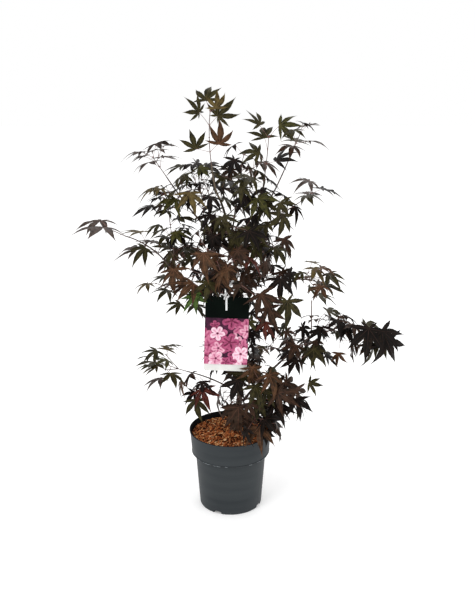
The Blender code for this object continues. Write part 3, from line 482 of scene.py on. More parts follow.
class Grower:
    """Grows one spray's twigs and leaves, all with one habit, from its own or shared draws."""

    def __init__(self, spray, taken, rng, length, hang, lean):
        self.spray = spray
        self.taken = taken
        self.rng = rng
        self.length = length
        self.hang = hang
        self.light = direction(FRONT, 90 - lean)
        self.reach = CROWN
        self.half = LEAF_SLAB
        self.grown = spray.leaves

    def leaf_length(self):
        return self.length

    def leaf(self, root, along, way):
        """A leaf on the side of a twig, turned and bent a little more each time it meets something."""
        rng = self.rng
        length = self.leaf_length()
        root = root - along * ROOT_BACK + way * ROOT_OUT
        for attempt in range(LEAF_TRIES):
            spread = 1 + attempt / LEAF_TRIES
            stalk = way * rng.uniform(*STALK_OUT) + along * rng.uniform(*STALK_ALONG) * spread
            stalk += Vector((0, 0, rng.uniform(*STALK_UP)))
            stalk.normalize()
            hub = root + stalk * PETIOLE_LENGTH * rng.uniform(*STALK_SIZE)
            heading = heading_and_rise(stalk)[0] + rng.uniform(-LEAF_YAW, LEAF_YAW) * spread
            forward = direction(heading, -self.hang + rng.uniform(-LEAF_NOD, LEAF_NOD) * spread)
            level = self.light.cross(forward).normalized()
            normal = forward.cross(level).normalized()
            roll = math.radians(rng.uniform(-LEAF_ROLL, LEAF_ROLL) * spread)
            normal.rotate(Matrix.Rotation(roll, 3, forward))
            leaf = Leaf(root, hub, forward, normal, length * rng.uniform(*LEAF_SIZE))
            slab = leaf.slab(self.half)
            stem = trial_stalk(root, hub)
            if not inside(slab[0], *self.reach) or self.taken.meets(*slab) or self.taken.meets(*stem):
                continue
            self.taken.add(*slab)
            self.taken.add(*stem)
            self.grown.append(leaf)
            return

    def fork(self, root, foot, out, length, radii, trial_radius):
        """A twig with a pair of leaves at its tip, and True, where there is room for it."""
        tip = root + out * length
        trial = tube([root + out * TRIAL_ROOT, tip], [trial_radius] * 2, 3)
        if not inside([tip], *self.reach) or self.taken.meets(*trial):
            return False
        self.taken.add(*trial)
        self.spray.twigs.append(Limb([foot, tip], radii))
        for tip_way in pair_axes(out, self.rng.uniform(-SIDE_PAIR_SPREAD, SIDE_PAIR_SPREAD)):
            self.leaf(tip, out, tip_way)
        return True

    def side_twig(self, root, along, way):
        """A side twig with a pair of leaves at its tip, or one leaf where it can't grow."""
        length = SIDE_TWIG_LENGTH * self.rng.uniform(*SIDE_TWIG_SIZE)
        climb = Vector((0, 0, self.rng.uniform(*SIDE_TWIG_UP)))
        out = (way * SIDE_TWIG_OUT + along * SIDE_TWIG_ALONG + climb).normalized()
        foot = root - along * ROOT_BACK + way * ROOT_OUT
        if not self.fork(root, foot, out, length, (TWIG_RADIUS, TWIG_TIP_RADIUS), TWIG_RADIUS + TRIAL_MARGIN):
            self.leaf(root, along, way)


def grow_stem(row, limbs, taken):
    """The stem of a foliage mass, tapering from its limb to its own tip."""
    limb, place, heading, rise, swing, arch, length, nodes = row[:8]
    start, heading, rise = leave(limbs, limb, place, heading, rise, STEM_RADIUS)
    stem = arc(start, heading, rise, swing, arch, length, nodes + 1)
    taper = (TWIG_TIP_RADIUS - STEM_RADIUS) / (nodes + 1)
    radii = [STEM_RADIUS + taper * index for index in range(nodes + 2)]
    for index in range(nodes + 1):
        near = stem[index] if index else stem[0] + (stem[1] - stem[0]).normalized() * TRIAL_ROOT
        taken.add(*tube([near, stem[index + 1]], [radii[index] + TRIAL_MARGIN] * 2, 3))
    return Limb(stem, radii)


def grow_spray(row, stem, taken):
    """The side twigs and leaves of a foliage mass, in opposite pairs along its stem."""
    nodes, forks, length, hang, lean, seed = row[7:]
    rng = random.Random(seed)
    spray = Spray()
    spray.twigs.append(stem)
    grower = Grower(spray, taken, rng, length, hang, lean)
    for node in range(1, nodes + 2):
        root = stem.path[node]
        along = (root - stem.path[node - 1]).normalized()
        bear = grower.side_twig if node <= forks else grower.leaf
        for way in pair_axes(along, PAIR_TURNS[node % 2] + rng.uniform(-PAIR_SPREAD, PAIR_SPREAD)):
            bear(root, along, way)
    return spray


def grow_plant(stands):
    """Every limb and spray, grown in order, clear of each other and of the solids that stand there."""
    limbs = grow_limbs()
    taken = Taken()
    for vertices, faces in stands:
        taken.add(vertices, faces)
    for name, limb in limbs.items():
        sides = TRUNK_SIDES if name == "trunk" else BOUGH_SIDES
        for index in range(len(limb.path) - 1):
            radii = [radius + CLEAR for radius in limb.radii[index:index + 2]]
            taken.add(*tube(limb.path[index:index + 2], radii, sides))
    stems = {name: grow_stem(row, limbs, taken) for name, row in MASSES.items()}
    return limbs, {name: grow_spray(row, stems[name], taken) for name, row in MASSES.items()}, taken


def pot_inside():
    """The pot's inner outline from the rim down to the floor."""
    return [
        (RIM_RADIUS - RIM_WIDTH, POT_HEIGHT), (RIM_RADIUS - RIM_LIP - WALL, POT_HEIGHT - 2 * RIM_WIDTH),
        (COLLAR_RADIUS - WALL, STEP_HEIGHT + 2 * WALL), (COLLAR_RADIUS - 3 * WALL, STEP_HEIGHT),
        (BODY_TOP_RADIUS - WALL, STEP_HEIGHT - WALL), (BASE_RADIUS - WALL, FLOOR + WALL),
        (BASE_RADIUS - 2 * WALL, FLOOR), (0, FLOOR),
    ]


def inner_radius(height):
    """The pot's inner radius at a height."""
    outline = pot_inside()
    for (wide, upper), (narrow, lower) in zip(outline, outline[1:]):
        if lower <= height <= upper and upper > lower:
            return narrow + (wide - narrow) * (height - lower) / (upper - lower)
    return 0.0


COMPOST_RADIUS = inner_radius(SOIL_LEVEL - SOIL_EDGE_DROP) - 2 * CLEAR


def label_view():
    """The space in front of the label that no leaf grows into, so its face stays in sight."""
    half = LABEL_WIDTH / 2 + LABEL_VIEW_MARGIN
    front = LABEL_TOP.y - LABEL_VIEW_MARGIN
    corners = []
    for away in (0, LABEL_VIEW_DEPTH):
        climb = LABEL_VIEW_CLIMB * away
        for drop in LABEL_VIEW_DROP:
            for x in (-half, half):
                corners.append(Vector((LABEL_TOP.x + x, front - away, LABEL_TOP.z - drop + climb)))
    faces = [(0, 1, 3, 2), (4, 6, 7, 5), (0, 4, 5, 1), (2, 3, 7, 6), (0, 2, 6, 4), (1, 5, 7, 3)]
    return corners, faces


def soil_cover():
    """A plain shape over the filling, that leaves are tried against in its place."""
    wide = inner_radius(SOIL_LEVEL) - WALL
    return turned([(0, STEP_HEIGHT), (wide, STEP_HEIGHT), (wide, SOIL_LEVEL + SOIL_MOUND),
                   (0, SOIL_LEVEL + SOIL_MOUND + WALL)], POT_SEGMENTS)


# ---- finer growth, in the scene alone -----------------------------------------------------------
FINE_SEED = 901
FINE_SLAB = 0.0006
FINE_TWIG_RADII = (0.0007, 0.0006)
FINE_TRIAL_RADIUS = FINE_TWIG_RADII[0] * 1.5
FINE_TWIG_LENGTH = (0.012, 0.032)
FINE_TWIG_ALONG = (0.2, 0.9)
# how many of the shoots are a twig with a pair of leaves, and how small the leaves are
FINE_TWIG_SHARE = 0.55
FINE_LEAF_SHARE = (0.62, 0.92)
FINE_MARGIN = Vector((0.006, 0.006, 0.006))
SHOOT_PLACES = (0.15, 0.95)
SPUR_SPACING = 0.034
SPUR_LEAF = 0.050
SPUR_HANG = 36
SPUR_LEAN = 15
SPUR_SPREAD = 20
SPUR_STRAY = (0.2, 0.8)
# the stretches of trunk and boughs that bear spurs, as shares of their length
SPUR_PLACES = {
    "trunk": (0.16, 0.70), "right_stem": (0.08, 0.30), "front_left_bough": (0.15, 0.90),
    "back_upper_bough": (0.10, 0.60), "back_right_bough": (0.10, 0.60), "back_left_bough": (0.10, 0.60),
    "back_middle_bough": (0.10, 0.70), "back_low_bough": (0.10, 0.45), "upper_left_bough": (0.15, 0.85),
    "right_low_bough": (0.72, 0.95), "far_right_bough": (0.35, 0.95),
}
# a leaf that stands out by itself low on the right, on a long stalk from the nearest twig of its mass
LONE_LEAF_MASS = "lower_right_spray"
LONE_LEAF_HUB = Vector((0.1735, -0.0680, 0.3290))
LONE_LEAF_HEADING = 352
LONE_LEAF_FALL = 12
LONE_LEAF_LEAN = 50
LONE_LEAF_LENGTH = 0.036

# How a mass is dressed here: how many more shoots are offered on its own twigs, how large its leaves
# stand against those of the solids, how far they are turned towards lying level, their palette, and
# the leaves of the solid that have no like here, so that the sky shows, by the order that they grew in.
Looks = namedtuple("Looks", "shoots scale level palette left_out", defaults=((),))
USUAL_LOOKS = Looks(0, 0.92, 0.0, "shade")
MASS_LOOKS = {
    "top_spray": Looks(0, 0.86, 0.0, "top", (2,)),
    "leader_left_spray": Looks(5, 1.00, 0.4, "left"),
    "leader_right_spray": Looks(4, 0.92, 0.4, "dusk"),
    "leader_front_spray": Looks(5, 0.92, 0.0, "dusk"),
    "right_stem_spray": Looks(0, 0.90, 0.0, "leader", (3,)),
    "right_stem_inner_spray": Looks(5, 0.92, 0.0, "dusk"),
    "right_top_spray": Looks(0, 0.86, 0.4, "right top"),
    "right_upper_spray": Looks(0, 0.92, 0.5, "right top"),
    "right_shoulder_spray": Looks(0, 0.92, 0.3, "shade", (2,)),
    "right_middle_spray": Looks(2, 0.88, 0.5, "sunny", (1,)),
    "right_inner_spray": Looks(0, 0.84, 0.0, "inner_shade", (4, 5)),
    "right_low_spray": Looks(0, 0.92, 0.4, "shade", (5,)),
    "right_low_upper_spray": Looks(3, 0.92, 0.4, "warm"),
    "far_right_spray": Looks(7, 1.08, 0.0, "foot"),
    "lower_right_spray": Looks(11, 1.00, 0.0, "warm"),
    "upper_left_spray": Looks(1, 1.00, 0.35, "pale"),
    "upper_left_side_spray": Looks(8, 1.10, 0.6, "left"),
    "upper_left_inner_spray": Looks(8, 1.00, 0.5, "shade"),
    "left_rising_spray": Looks(4, 0.92, 0.5, "left"),
    "far_left_spray": Looks(0, 0.96, 0.3, "pale"),
    "long_left_side_spray": Looks(1, 1.10, 0.5, "left"),
    "centre_left_spray": Looks(1, 0.82, 0.4, "warm", (7,)),
    "left_middle_spray": Looks(1, 0.84, 0.6, "left", (3,)),
    "left_middle_side_spray": Looks(0, 0.92, 0.6, "left"),
    "lower_left_spray": Looks(1, 0.88, 0.5, "left"),
    "lower_left_hanging_spray": Looks(2, 0.92, 0.0, "warm"),
    "foot_right_spray": Looks(28, 1.00, 0.0, "foot"),
    "foot_left_spray": Looks(5, 0.92, 0.0, "foot"),
    "front_upper_spray": Looks(4, 0.92, 0.0, "front"),
    "front_right_spray": Looks(0, 0.90, 0.0, "front", (4,)),
    "front_left_spray": Looks(0, 0.92, 0.0, "warm", (4,)),
    "back_upper_spray": Looks(1, 0.92, 0.0, "shade"),
    "back_left_spray": Looks(1, 0.92, 0.0, "shade"),
    "back_low_spray": Looks(1, 0.92, 0.0, "shade"),
    "back_low_left_spray": Looks(5, 0.92, 0.0, "shade"),
}


def looks_of(name):
    return MASS_LOOKS.get(name, USUAL_LOOKS)


class FineGrower(Grower):
    """Grows shoots with smaller leaves, which only the scene has."""

    def __init__(self, spray, taken, rng, length, hang, lean, reach):
        super().__init__(spray, taken, rng, length, hang, lean)
        self.reach = reach
        self.half = FINE_SLAB
        self.grown = spray.small_leaves

    def leaf_length(self):
        return self.length * self.rng.uniform(*FINE_LEAF_SHARE)

    def shoots(self, root, along, turn, radius=0.0):
        """Two opposite shoots, each a fine twig with a pair of leaves, or one leaf on the bearer."""
        for way in pair_axes(along, turn):
            base = root + way * radius
            if self.rng.random() < FINE_TWIG_SHARE:
                out = (way * SIDE_TWIG_OUT + along * self.rng.uniform(*FINE_TWIG_ALONG)).normalized()
                length = self.rng.uniform(*FINE_TWIG_LENGTH)
                if self.fork(base, base, out, length, FINE_TWIG_RADII, FINE_TRIAL_RADIUS):
                    continue
            self.leaf(base, along, way)


def lone_leaf(spray):
    ends = [twig.path[-1] for twig in spray.twigs]
    root = min(ends, key=lambda end: (end - LONE_LEAF_HUB).length)
    forward = direction(LONE_LEAF_HEADING, -LONE_LEAF_FALL)
    level = direction(FRONT, 90 - LONE_LEAF_LEAN).cross(forward).normalized()
    return Leaf(root, LONE_LEAF_HUB, forward, forward.cross(level).normalized(), LONE_LEAF_LENGTH)


def thicken(sprays, limbs, taken):
    """More shoots on each mass's own twigs, inside the mass's box, and spurs along the limbs."""
    rng = random.Random(FINE_SEED)
    for name, spray in sprays.items():
        low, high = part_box(name)
        reach = (low - FINE_MARGIN, high + FINE_MARGIN)
        grower = FineGrower(spray, taken, rng, *MASSES[name][9:12], reach)
        bearers = list(spray.twigs)
        for _ in range(looks_of(name).shoots):
            root, along, _ = rng.choice(bearers).at(rng.uniform(*SHOOT_PLACES))
            grower.shoots(root, along, rng.uniform(-90, 90))
    sprays[LONE_LEAF_MASS].small_leaves.append(lone_leaf(sprays[LONE_LEAF_MASS]))
    spurs = Spray()
    grower = FineGrower(spurs, taken, rng, SPUR_LEAF, SPUR_HANG, SPUR_LEAN, CROWN)
    for name, (first, last) in SPUR_PLACES.items():
        count = max(2, round(length_of(limbs[name].path) / SPUR_SPACING))
        for index in range(count):
            share = first + (last - first) * (index + rng.uniform(*SPUR_STRAY)) / count
            root, along, radius = limbs[name].at(share)
            turn = PAIR_TURNS[1] + 90 * (index % 2) + rng.uniform(-SPUR_SPREAD, SPUR_SPREAD)
            grower.shoots(root, along, turn, radius)
    return spurs


# ---- meshes and finishes ------------------------------------------------------------------------
class Batch:
    """Vertices and faces of one kind of thing, gathered into one mesh with a few finishes."""

    def __init__(self):
        self.vertices = []
        self.faces = []
        self.marks = []
        self.count = 0

    def add(self, vertices, faces, marks=0):
        """Points as rows of x, y, z, faces as tuples, and one finish's number for all or one for each."""
        first = self.count
        self.vertices.append(np.asarray(vertices, float).reshape(-1, 3))
        self.count += len(self.vertices[-1])
        self.faces += [tuple(first + corner for corner in face) for face in faces]
        self.marks += [marks] * len(faces) if isinstance(marks, int) else list(marks)

    def mesh_object(self, name):
        mesh = bpy.data.meshes.new(name)
        mesh.from_pydata(np.concatenate(self.vertices).tolist(), [], self.faces)
        return linked(name, mesh)

    def build(self, name, finishes, slot, replaced=(), sharp=60.0):
        obj = self.mesh_object(name)
        dress(obj, finishes, replaced, sharp)
        obj.data.polygons.foreach_set("material_index", self.marks)
        obj.data.update()


def dress(obj, finishes, replaced, sharp):
    """Gives a piece its finishes, smooth between its sharp edges, hangs it on the root and hides the parts
    that it replaces.
    """
    for surface in finishes:
        obj.data.materials.append(surface)
    obj.data.shade_smooth()
    obj.data.set_sharp_from_angle(angle=math.radians(sharp))
    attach(obj, "root")
    if replaced:
        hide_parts(*replaced)


def linked(name, data):
    obj = bpy.data.objects.new(name, data)
    bpy.context.scene.collection.objects.link(obj)
    return obj


def linear(red, green, blue):
    """A colour given as it looks on a screen, 0 to 255, as the shader takes it."""
    shares = []
    for value in (red, green, blue):
        value /= 255
        shares.append(value / 12.92 if value <= 0.04045 else ((value + 0.055) / 1.055) ** 2.4)
    return (*shares, 1.0)


# where along its noise a surface is all dark and all light, and how much its gloss varies
DRIFT_ENDS = (0.32, 0.68)
GLOSS_SPREAD = 0.08


def finish(name, dark, light, rough, specular, scale, stretch=(1, 1, 1), bump=0.2, bump_scale=600.0,
           bump_depth=0.0004, detail=4.0):
    """A surface whose colour drifts between two tones, with fine relief and uneven gloss."""
    made = bpy.data.materials.new(name)
    made.use_nodes = True
    nodes, links = made.node_tree.nodes, made.node_tree.links

    def node(kind, values, socket=None, source=None):
        new = nodes.new("ShaderNode" + kind)
        for label, value in values.items():
            new.inputs[label].default_value = value
        if source:
            links.new(source, new.inputs[socket])
        return new

    shader = nodes["Principled BSDF"]
    shader.inputs["Specular IOR Level"].default_value = specular
    place = node("TexCoord", {}).outputs["Object"]
    place = node("Mapping", {"Scale": stretch}, "Vector", place).outputs["Vector"]
    drift = node("TexNoise", {"Scale": scale, "Detail": detail}, "Vector", place).outputs["Fac"]
    ramp = node("ValToRGB", {}, "Fac", drift)
    for stop, position, colour in zip(ramp.color_ramp.elements, DRIFT_ENDS, (dark, light)):
        stop.position = position
        stop.color = linear(*colour)
    limits = {"To Min": max(0.05, rough - GLOSS_SPREAD), "To Max": min(1.0, rough + GLOSS_SPREAD)}
    gloss = node("MapRange", limits, "Value", drift)
    grain = node("TexNoise", {"Scale": bump_scale, "Detail": 3.0}, "Vector", place).outputs["Fac"]
    relief = node("Bump", {"Strength": bump, "Distance": bump_depth}, "Height", grain)
    links.new(ramp.outputs["Color"], shader.inputs["Base Color"])
    links.new(gloss.outputs["Result"], shader.inputs["Roughness"])
    links.new(relief.outputs["Normal"], shader.inputs["Normal"])
    return made


# ---- leaves -------------------------------------------------------------------------------------
# each lobe: degrees off the middle one, length in leaf lengths, and half its width where it is widest
LOBES = ((-90, 0.70, 0.058), (-43, 0.93, 0.100), (0, 1.02, 0.116), (43, 0.93, 0.100), (90, 0.70, 0.058))
BASAL_LOBES = ((-132, 0.36, 0.034), (132, 0.36, 0.034))
# how a kind's lobes differ: degrees either way, and the ranges of length, width and depth of the cuts
LOBE_TURN = 5
LOBE_LENGTH = (0.92, 1.05)
LOBE_WIDTH = (0.85, 1.12)
CUT_SIZE = (0.92, 1.08)
# how deep the cuts between the lobes reach, from the lowest ones to those beside the middle lobe
CUT_DEPTHS = (0.12, 0.18, 0.21)
# the notch at the stalk: degrees off the middle lobe, and depth
BASE_NOTCH = (158, 0.045)
# a lobe's outline is a power of the way from its cut and one of the way to its tip
LOBE_SHAPE = (1.15, 1.9)
LOBE_WIDEST = LOBE_SHAPE[0] / (LOBE_SHAPE[0] + LOBE_SHAPE[1])
LOBE_PEAK = LOBE_WIDEST ** LOBE_SHAPE[0] * (1 - LOBE_WIDEST) ** LOBE_SHAPE[1]
# how far the teeth stand out and the gaps between them go in, and how far a tooth points ahead
TOOTH_OUT = 0.010
TOOTH_IN = -0.004
TOOTH_AHEAD = 1.4
# where the first two rows of a lobe cross its midrib, as shares of the way to its cut, how far a row's
# midrib point lags behind its rim, by the rim's distance out, and the least step between the rows
CUT_ROWS = (0.5, 0.92)
RIB_LAG = 0.35
RIB_STEP = 0.02
# how the blade rises from its midribs to its rim, at the rim, at the cuts and beside a midrib
LEAF_FOLD = 0.24
CUT_FOLD = 0.36
VEIN_FOLD = 0.3
RIB_RISE = 0.004
VEIN_HALF = 0.0085
VEIN_TAPER = 0.80
LEAF_THICKNESS = 0.00034
# how each leaf differs from its kind: ranges of droop and fold, then the lobes' lift, roll, curl and sway
BENT_DROOP = (0.75, 1.35)
BENT_FOLD = (0.6, 1.5)
LOBE_LIFT = 0.07
LOBE_ROLL = 0.30
LOBE_CURL = 0.55
LOBE_SWAY = 0.16
# how far from the hub the lobes begin to bend by themselves
LOBE_FREE = 0.36
LEAF_KINDS = 6
BROAD_STATIONS = 9
SMALL_STATIONS = 5
SMALL_SEED = 50
LEAVES_IN_A_PIECE = 150
# the stalk: how much it bows and how much of that is upwards, how far its end sinks into the blade, and
# its width from root to hub
STALK_BOW = 0.05
STALK_BOW_UP = (0.2, 1.6)
STALK_SINK = 0.0006
STALK_WIDTHS = (1.7, 1.0, 0.9, 0.9, 0.95, 1.1)


class LeafKind:
    """One flat leaf of unit length with toothed lobes, ready to be bent into place many times."""

    def __init__(self, seed, stations, basal):
        rng = random.Random(seed)
        self.rows = []
        self.faces = []
        self.marks = []
        lobes = [(angle + rng.uniform(-LOBE_TURN, LOBE_TURN), length * rng.uniform(*LOBE_LENGTH),
                  width * rng.uniform(*LOBE_WIDTH))
                 for angle, length, width in sorted(LOBES + (BASAL_LOBES if basal else ()))]
        self.lobe_count = len(lobes)
        hub = self.point(0, 0, 0)
        cuts = []
        for index in range(len(lobes) + 1):
            if index in (0, len(lobes)):
                turn, reach = BASE_NOTCH
                turn *= 1 if index else -1
            else:
                turn = (lobes[index - 1][0] + lobes[index][0]) / 2
                off = min(abs(index - len(lobes) // 2), abs(index - len(lobes) // 2 - 1))
                reach = CUT_DEPTHS[max(2 - off, 0)] * rng.uniform(*CUT_SIZE)
            x, y = reach * math.cos(math.radians(turn)), reach * math.sin(math.radians(turn))
            raised = LEAF_FOLD * reach * CUT_FOLD
            half = self.point(x * 0.5, y * 0.5, raised * 0.5)
            cuts.append((half, self.point(x, y, raised, rim=True), x, y))
        for index, lobe in enumerate(lobes):
            self.grow_lobe(index, lobe, hub, cuts[index:index + 2], stations)
        self.faces.append((hub, *cuts[-1][:2], cuts[0][1], cuts[0][0]))
        self.marks.append(0)
        self.x, self.y, self.fold, lobe, self.offset, rim = np.array(self.rows, float).T.copy()
        self.lobe = lobe.astype(int)
        self.inner = np.flatnonzero(rim == 0)
        below = np.arange(len(rim))
        below[self.inner] = len(rim) + np.arange(len(self.inner))
        self.faces += [tuple(below[list(reversed(face))].tolist()) for face in self.faces]
        self.marks += [1 if mark == 0 else 2 for mark in self.marks]

    def point(self, x, y, raised, lobe=-1, offset=0, rim=False):
        """A point's place, its height when folded, its lobe, and how far it is off the lobe's midrib."""
        self.rows.append((x, y, raised, lobe, offset, rim))
        return len(self.rows) - 1

    def grow_lobe(self, index, lobe, hub, cuts, stations):
        """A lobe between two cuts: its toothed rim, its raised midrib, and the strips between them."""
        angle, length, width = lobe
        ahead_x, ahead_y = math.cos(math.radians(angle)), math.sin(math.radians(angle))

        def place(along, out, raised, rim=False):
            x, y = ahead_x * along - ahead_y * out, ahead_y * along + ahead_x * out
            return self.point(x, y, raised, index, out, rim)

        tip = place(length, 0, 0, True)
        rims = []
        for sign, (half, corner, x, y) in zip((-1, 1), cuts):
            start_along = x * ahead_x + y * ahead_y
            start_out = abs(y * ahead_x - x * ahead_y)
            rim = [(half, start_along * CUT_ROWS[0]), (corner, start_along * CUT_ROWS[1])]
            for step in range(1, stations + 1):
                share = step / (stations + 1)
                along = start_along + (length - start_along) * share
                out = start_out * (1 - share) ** 3
                out += width * share ** LOBE_SHAPE[0] * (1 - share) ** LOBE_SHAPE[1] / LOBE_PEAK
                tooth = (TOOTH_OUT if step % 2 else TOOTH_IN) * (1 - share)
                edge = out + tooth
                corner = place(along + tooth * TOOTH_AHEAD, edge * sign, LEAF_FOLD * edge, True)
                rim.append((corner, along - out * RIB_LAG))
            rims.append(rim)
        midrib = []
        for number, (right, left) in enumerate(zip(*rims), 1):
            along = max((right[1] + left[1]) / 2, RIB_STEP * number)
            midrib.append((place(along, 0, RIB_RISE), along))
        for sign, rim in zip((-1, 1), rims):
            before = (hub,) * 3
            lines = []
            for (centre, along), (edge, _) in zip(midrib, rim):
                out = VEIN_HALF * (1 - VEIN_TAPER * along / length)
                lines.append((centre, place(along, out * sign, LEAF_FOLD * out * VEIN_FOLD), edge))
            for here in lines + [(tip,) * 3]:
                for near, far, mark in ((0, 1, 2), (1, 2, 0)):
                    corners = [before[near], here[near], here[far], before[far]][::sign]
                    corners = tuple(dict.fromkeys(corners))
                    if len(corners) > 2:
                        self.faces.append(corners)
                        self.marks.append(mark)
                before = here

    def bent(self, leaf, scale, rng):
        """The kind's points, drooped, rolled and curled lobe by lobe, on a leaf's own frame."""
        def by_lobe(draw, *limits):
            return np.array([draw(*limits) for _ in range(self.lobe_count)] + [0.0])[self.lobe]

        reach = np.hypot(self.x, self.y)
        past = np.clip(reach - LOBE_FREE, 0, None)
        droop = LOBE_DROOP * rng.uniform(*BENT_DROOP)
        lift = by_lobe(rng.gauss, 0, LOBE_LIFT)
        roll = by_lobe(rng.gauss, 0, LOBE_ROLL)
        curl = by_lobe(rng.uniform, 0.0, LOBE_CURL)
        bend = by_lobe(rng.gauss, 0, LOBE_SWAY) * past ** 2
        height = self.fold * rng.uniform(*BENT_FOLD) - droop * reach ** 2
        height += lift * past - curl * past ** 2 + roll * self.offset * np.clip(past * 4, 0, 1)
        flat = np.stack([self.x - self.y * bend, self.y + self.x * bend, height], 1)
        axes = np.array([leaf.forward, leaf.normal.cross(leaf.forward), leaf.normal])
        top = np.array(leaf.hub) + flat @ axes * leaf.length * scale
        return np.concatenate([top, top[self.inner] - np.array(leaf.normal) * LEAF_THICKNESS])


def bowed(start, pull, end, steps):
    """Points on the curve from start to end that leaves towards pull and arrives from it."""
    points = []
    for step in range(steps + 1):
        t = step / steps
        points.append(start * (1 - t) ** 2 + pull * 2 * t * (1 - t) + end * t * t)
    return points


def stalk_path(leaf, rng):
    """The stalk's line, arched a little between its root and the blade's hub."""
    bow = Vector((rng.uniform(-1, 1), rng.uniform(-1, 1), rng.uniform(*STALK_BOW_UP)))
    bow *= PETIOLE_LENGTH * STALK_BOW
    end = leaf.hub - leaf.normal * STALK_SINK
    return bowed(leaf.root, leaf.root.lerp(leaf.hub, 0.5) + bow, end, len(STALK_WIDTHS) - 1)


# ---- colours dealt out by mass ------------------------------------------------------------------
# blade from above, blade from below, and rib, each as a darker and a lighter tone
LEAF_TONES = {
    "dark": ((7, 5, 4), (21, 15, 11), (23, 18, 15), (38, 30, 24), (44, 29, 24)),
    "umber": ((26, 17, 11), (60, 41, 29), (42, 31, 25), (61, 47, 37), (76, 48, 37)),
    "bronze": ((38, 26, 16), (84, 58, 38), (58, 43, 32), (80, 61, 45), (102, 66, 48)),
    "khaki": ((42, 34, 17), (94, 80, 44), (64, 54, 33), (86, 74, 50), (102, 84, 54)),
    "olive": ((21, 19, 9), (57, 53, 26), (42, 38, 23), (61, 55, 36), (72, 62, 40)),
    "moss": ((28, 29, 12), (66, 65, 29), (50, 48, 27), (71, 68, 40), (90, 82, 48)),
    "mauve": ((38, 31, 29), (84, 72, 65), (57, 48, 43), (83, 73, 67), (96, 72, 64)),
    "red": ((34, 14, 10), (78, 34, 25), (58, 30, 24), (80, 44, 35), (102, 50, 38)),
    "green": ((30, 46, 18), (76, 102, 44), (62, 82, 38), (84, 104, 54), (104, 120, 64)),
}
RIB_LIGHTER = 14
# the tones of a palette, each with its weight. The mix for the inner masses and the shade mix are mostly dark
# tones, painted shade, and the sunny mix is lighter, painted light
PALETTES = {
    "top": (("khaki", 4), ("olive", 3), ("bronze", 1)),
    "leader": (("olive", 6), ("dark", 2), ("moss", 1), ("khaki", 2)),
    "dusk": (("dark", 5), ("olive", 4), ("moss", 1)),
    "right top": (("olive", 4), ("dark", 2), ("mauve", 2), ("umber", 1)),
    "left": (("olive", 5), ("mauve", 2), ("moss", 2), ("khaki", 1), ("dark", 2)),
    # the palette of the inner masses: mostly dark tones, painted shade
    "inner_shade": (("dark", 8), ("umber", 2), ("olive", 3)),
    "shade": (("dark", 6), ("umber", 3), ("olive", 3)),
    "front": (("umber", 6), ("bronze", 3), ("dark", 1), ("olive", 1)),
    "warm": (("umber", 4), ("dark", 3), ("bronze", 2), ("olive", 2)),
    "foot": (("umber", 4), ("bronze", 1), ("dark", 6), ("olive", 1)),
    "sunny": (("moss", 1), ("khaki", 2), ("olive", 4), ("bronze", 3)),
    "pale": (("mauve", 1),),
}
# single leaves with a colour of their own, by mass and by their place in the order that they grew
OWN_TONES = {
    ("front_left_spray", 5): "green", ("front_right_spray", 3): "red", ("front_upper_spray", 4): "red",
    ("lower_left_hanging_spray", 1): "red", ("foot_right_spray", 1): "umber",
    ("foot_right_spray", 3): "bronze", ("foot_left_spray", 1): "umber",
}
COLOUR_SEED = 41


class Foliage:
    """Leaves on their stalks, gathered into pieces by the colour of their blades."""

    def __init__(self):
        self.open = {}
        self.pieces = []
        self.stalks = Batch()

    def put(self, leaf, kinds, palette, rng, scale=1.0, own_tone=None):
        tone = own_tone or rng.choice([tone for tone, weight in PALETTES[palette] for _ in range(weight)])
        kind = rng.choice(kinds)
        batch, count = self.open.get(tone, (None, LEAVES_IN_A_PIECE))
        if count >= LEAVES_IN_A_PIECE:
            batch, count = Batch(), 0
            self.pieces.append((tone, batch))
        self.open[tone] = (batch, count + 1)
        batch.add(kind.bent(leaf, scale, rng), kind.faces, kind.marks)
        self.stalks.add(*tube(stalk_path(leaf, rng), [PETIOLE_RADIUS * width for width in STALK_WIDTHS], 5))


def make_leaves(sprays, spurs, stalk_skin):
    """Every leaf, with its blade's colour dealt out by mass."""
    broad = [LeafKind(seed, BROAD_STATIONS, seed % 3 == 0) for seed in range(LEAF_KINDS)]
    small = [LeafKind(seed + SMALL_SEED, SMALL_STATIONS, seed % 3 == 0) for seed in range(LEAF_KINDS)]
    foliage = Foliage()
    for name, spray in sprays.items():
        rng = random.Random(f"{COLOUR_SEED} {name}")
        looks = looks_of(name)
        for index, leaf in enumerate(spray.leaves):
            if index not in looks.left_out:
                leaf = leaf.levelled(looks.level)
                foliage.put(leaf, broad, looks.palette, rng, looks.scale, OWN_TONES.get((name, index)))
        for leaf in spray.small_leaves:
            foliage.put(leaf.levelled(looks.level), small, looks.palette, rng)
    middles = {name: spray.twigs[0].path[1] for name, spray in sprays.items()}
    rng = random.Random(COLOUR_SEED)
    for leaf in spurs.small_leaves:
        nearest = min(middles, key=lambda name: (middles[name] - leaf.root).length)
        foliage.put(leaf, small, looks_of(nearest).palette, rng)
    foliage.stalks.build("leaf_stalks", [stalk_skin], "foliage", [], 80)
    for number, (tone, batch) in enumerate(foliage.pieces):
        batch.build(f"leaves_{tone}_{number}", leaf_finishes(tone), "foliage", list(MASSES), 70)


def leaf_finishes(tone):
    dark, light, under_dark, under_light, rib = LEAF_TONES[tone]
    rib_light = tuple(min(255, value + RIB_LIGHTER) for value in rib)
    return (
        finish(f"leaf_{tone}_upper", dark, light, 0.44, 0.08, 110, bump=0.5, bump_scale=800, detail=6.0),
        finish(f"leaf_{tone}_under", under_dark, under_light, 0.62, 0.04, 70, bump=0.35, bump_scale=500),
        finish(f"leaf_{tone}_rib", rib, rib_light, 0.5, 0.06, 120, bump=0.1),
    )


# ---- bark ---------------------------------------------------------------------------------------
BARK_STEP = 0.0032
BARK_FURROW = 0.045
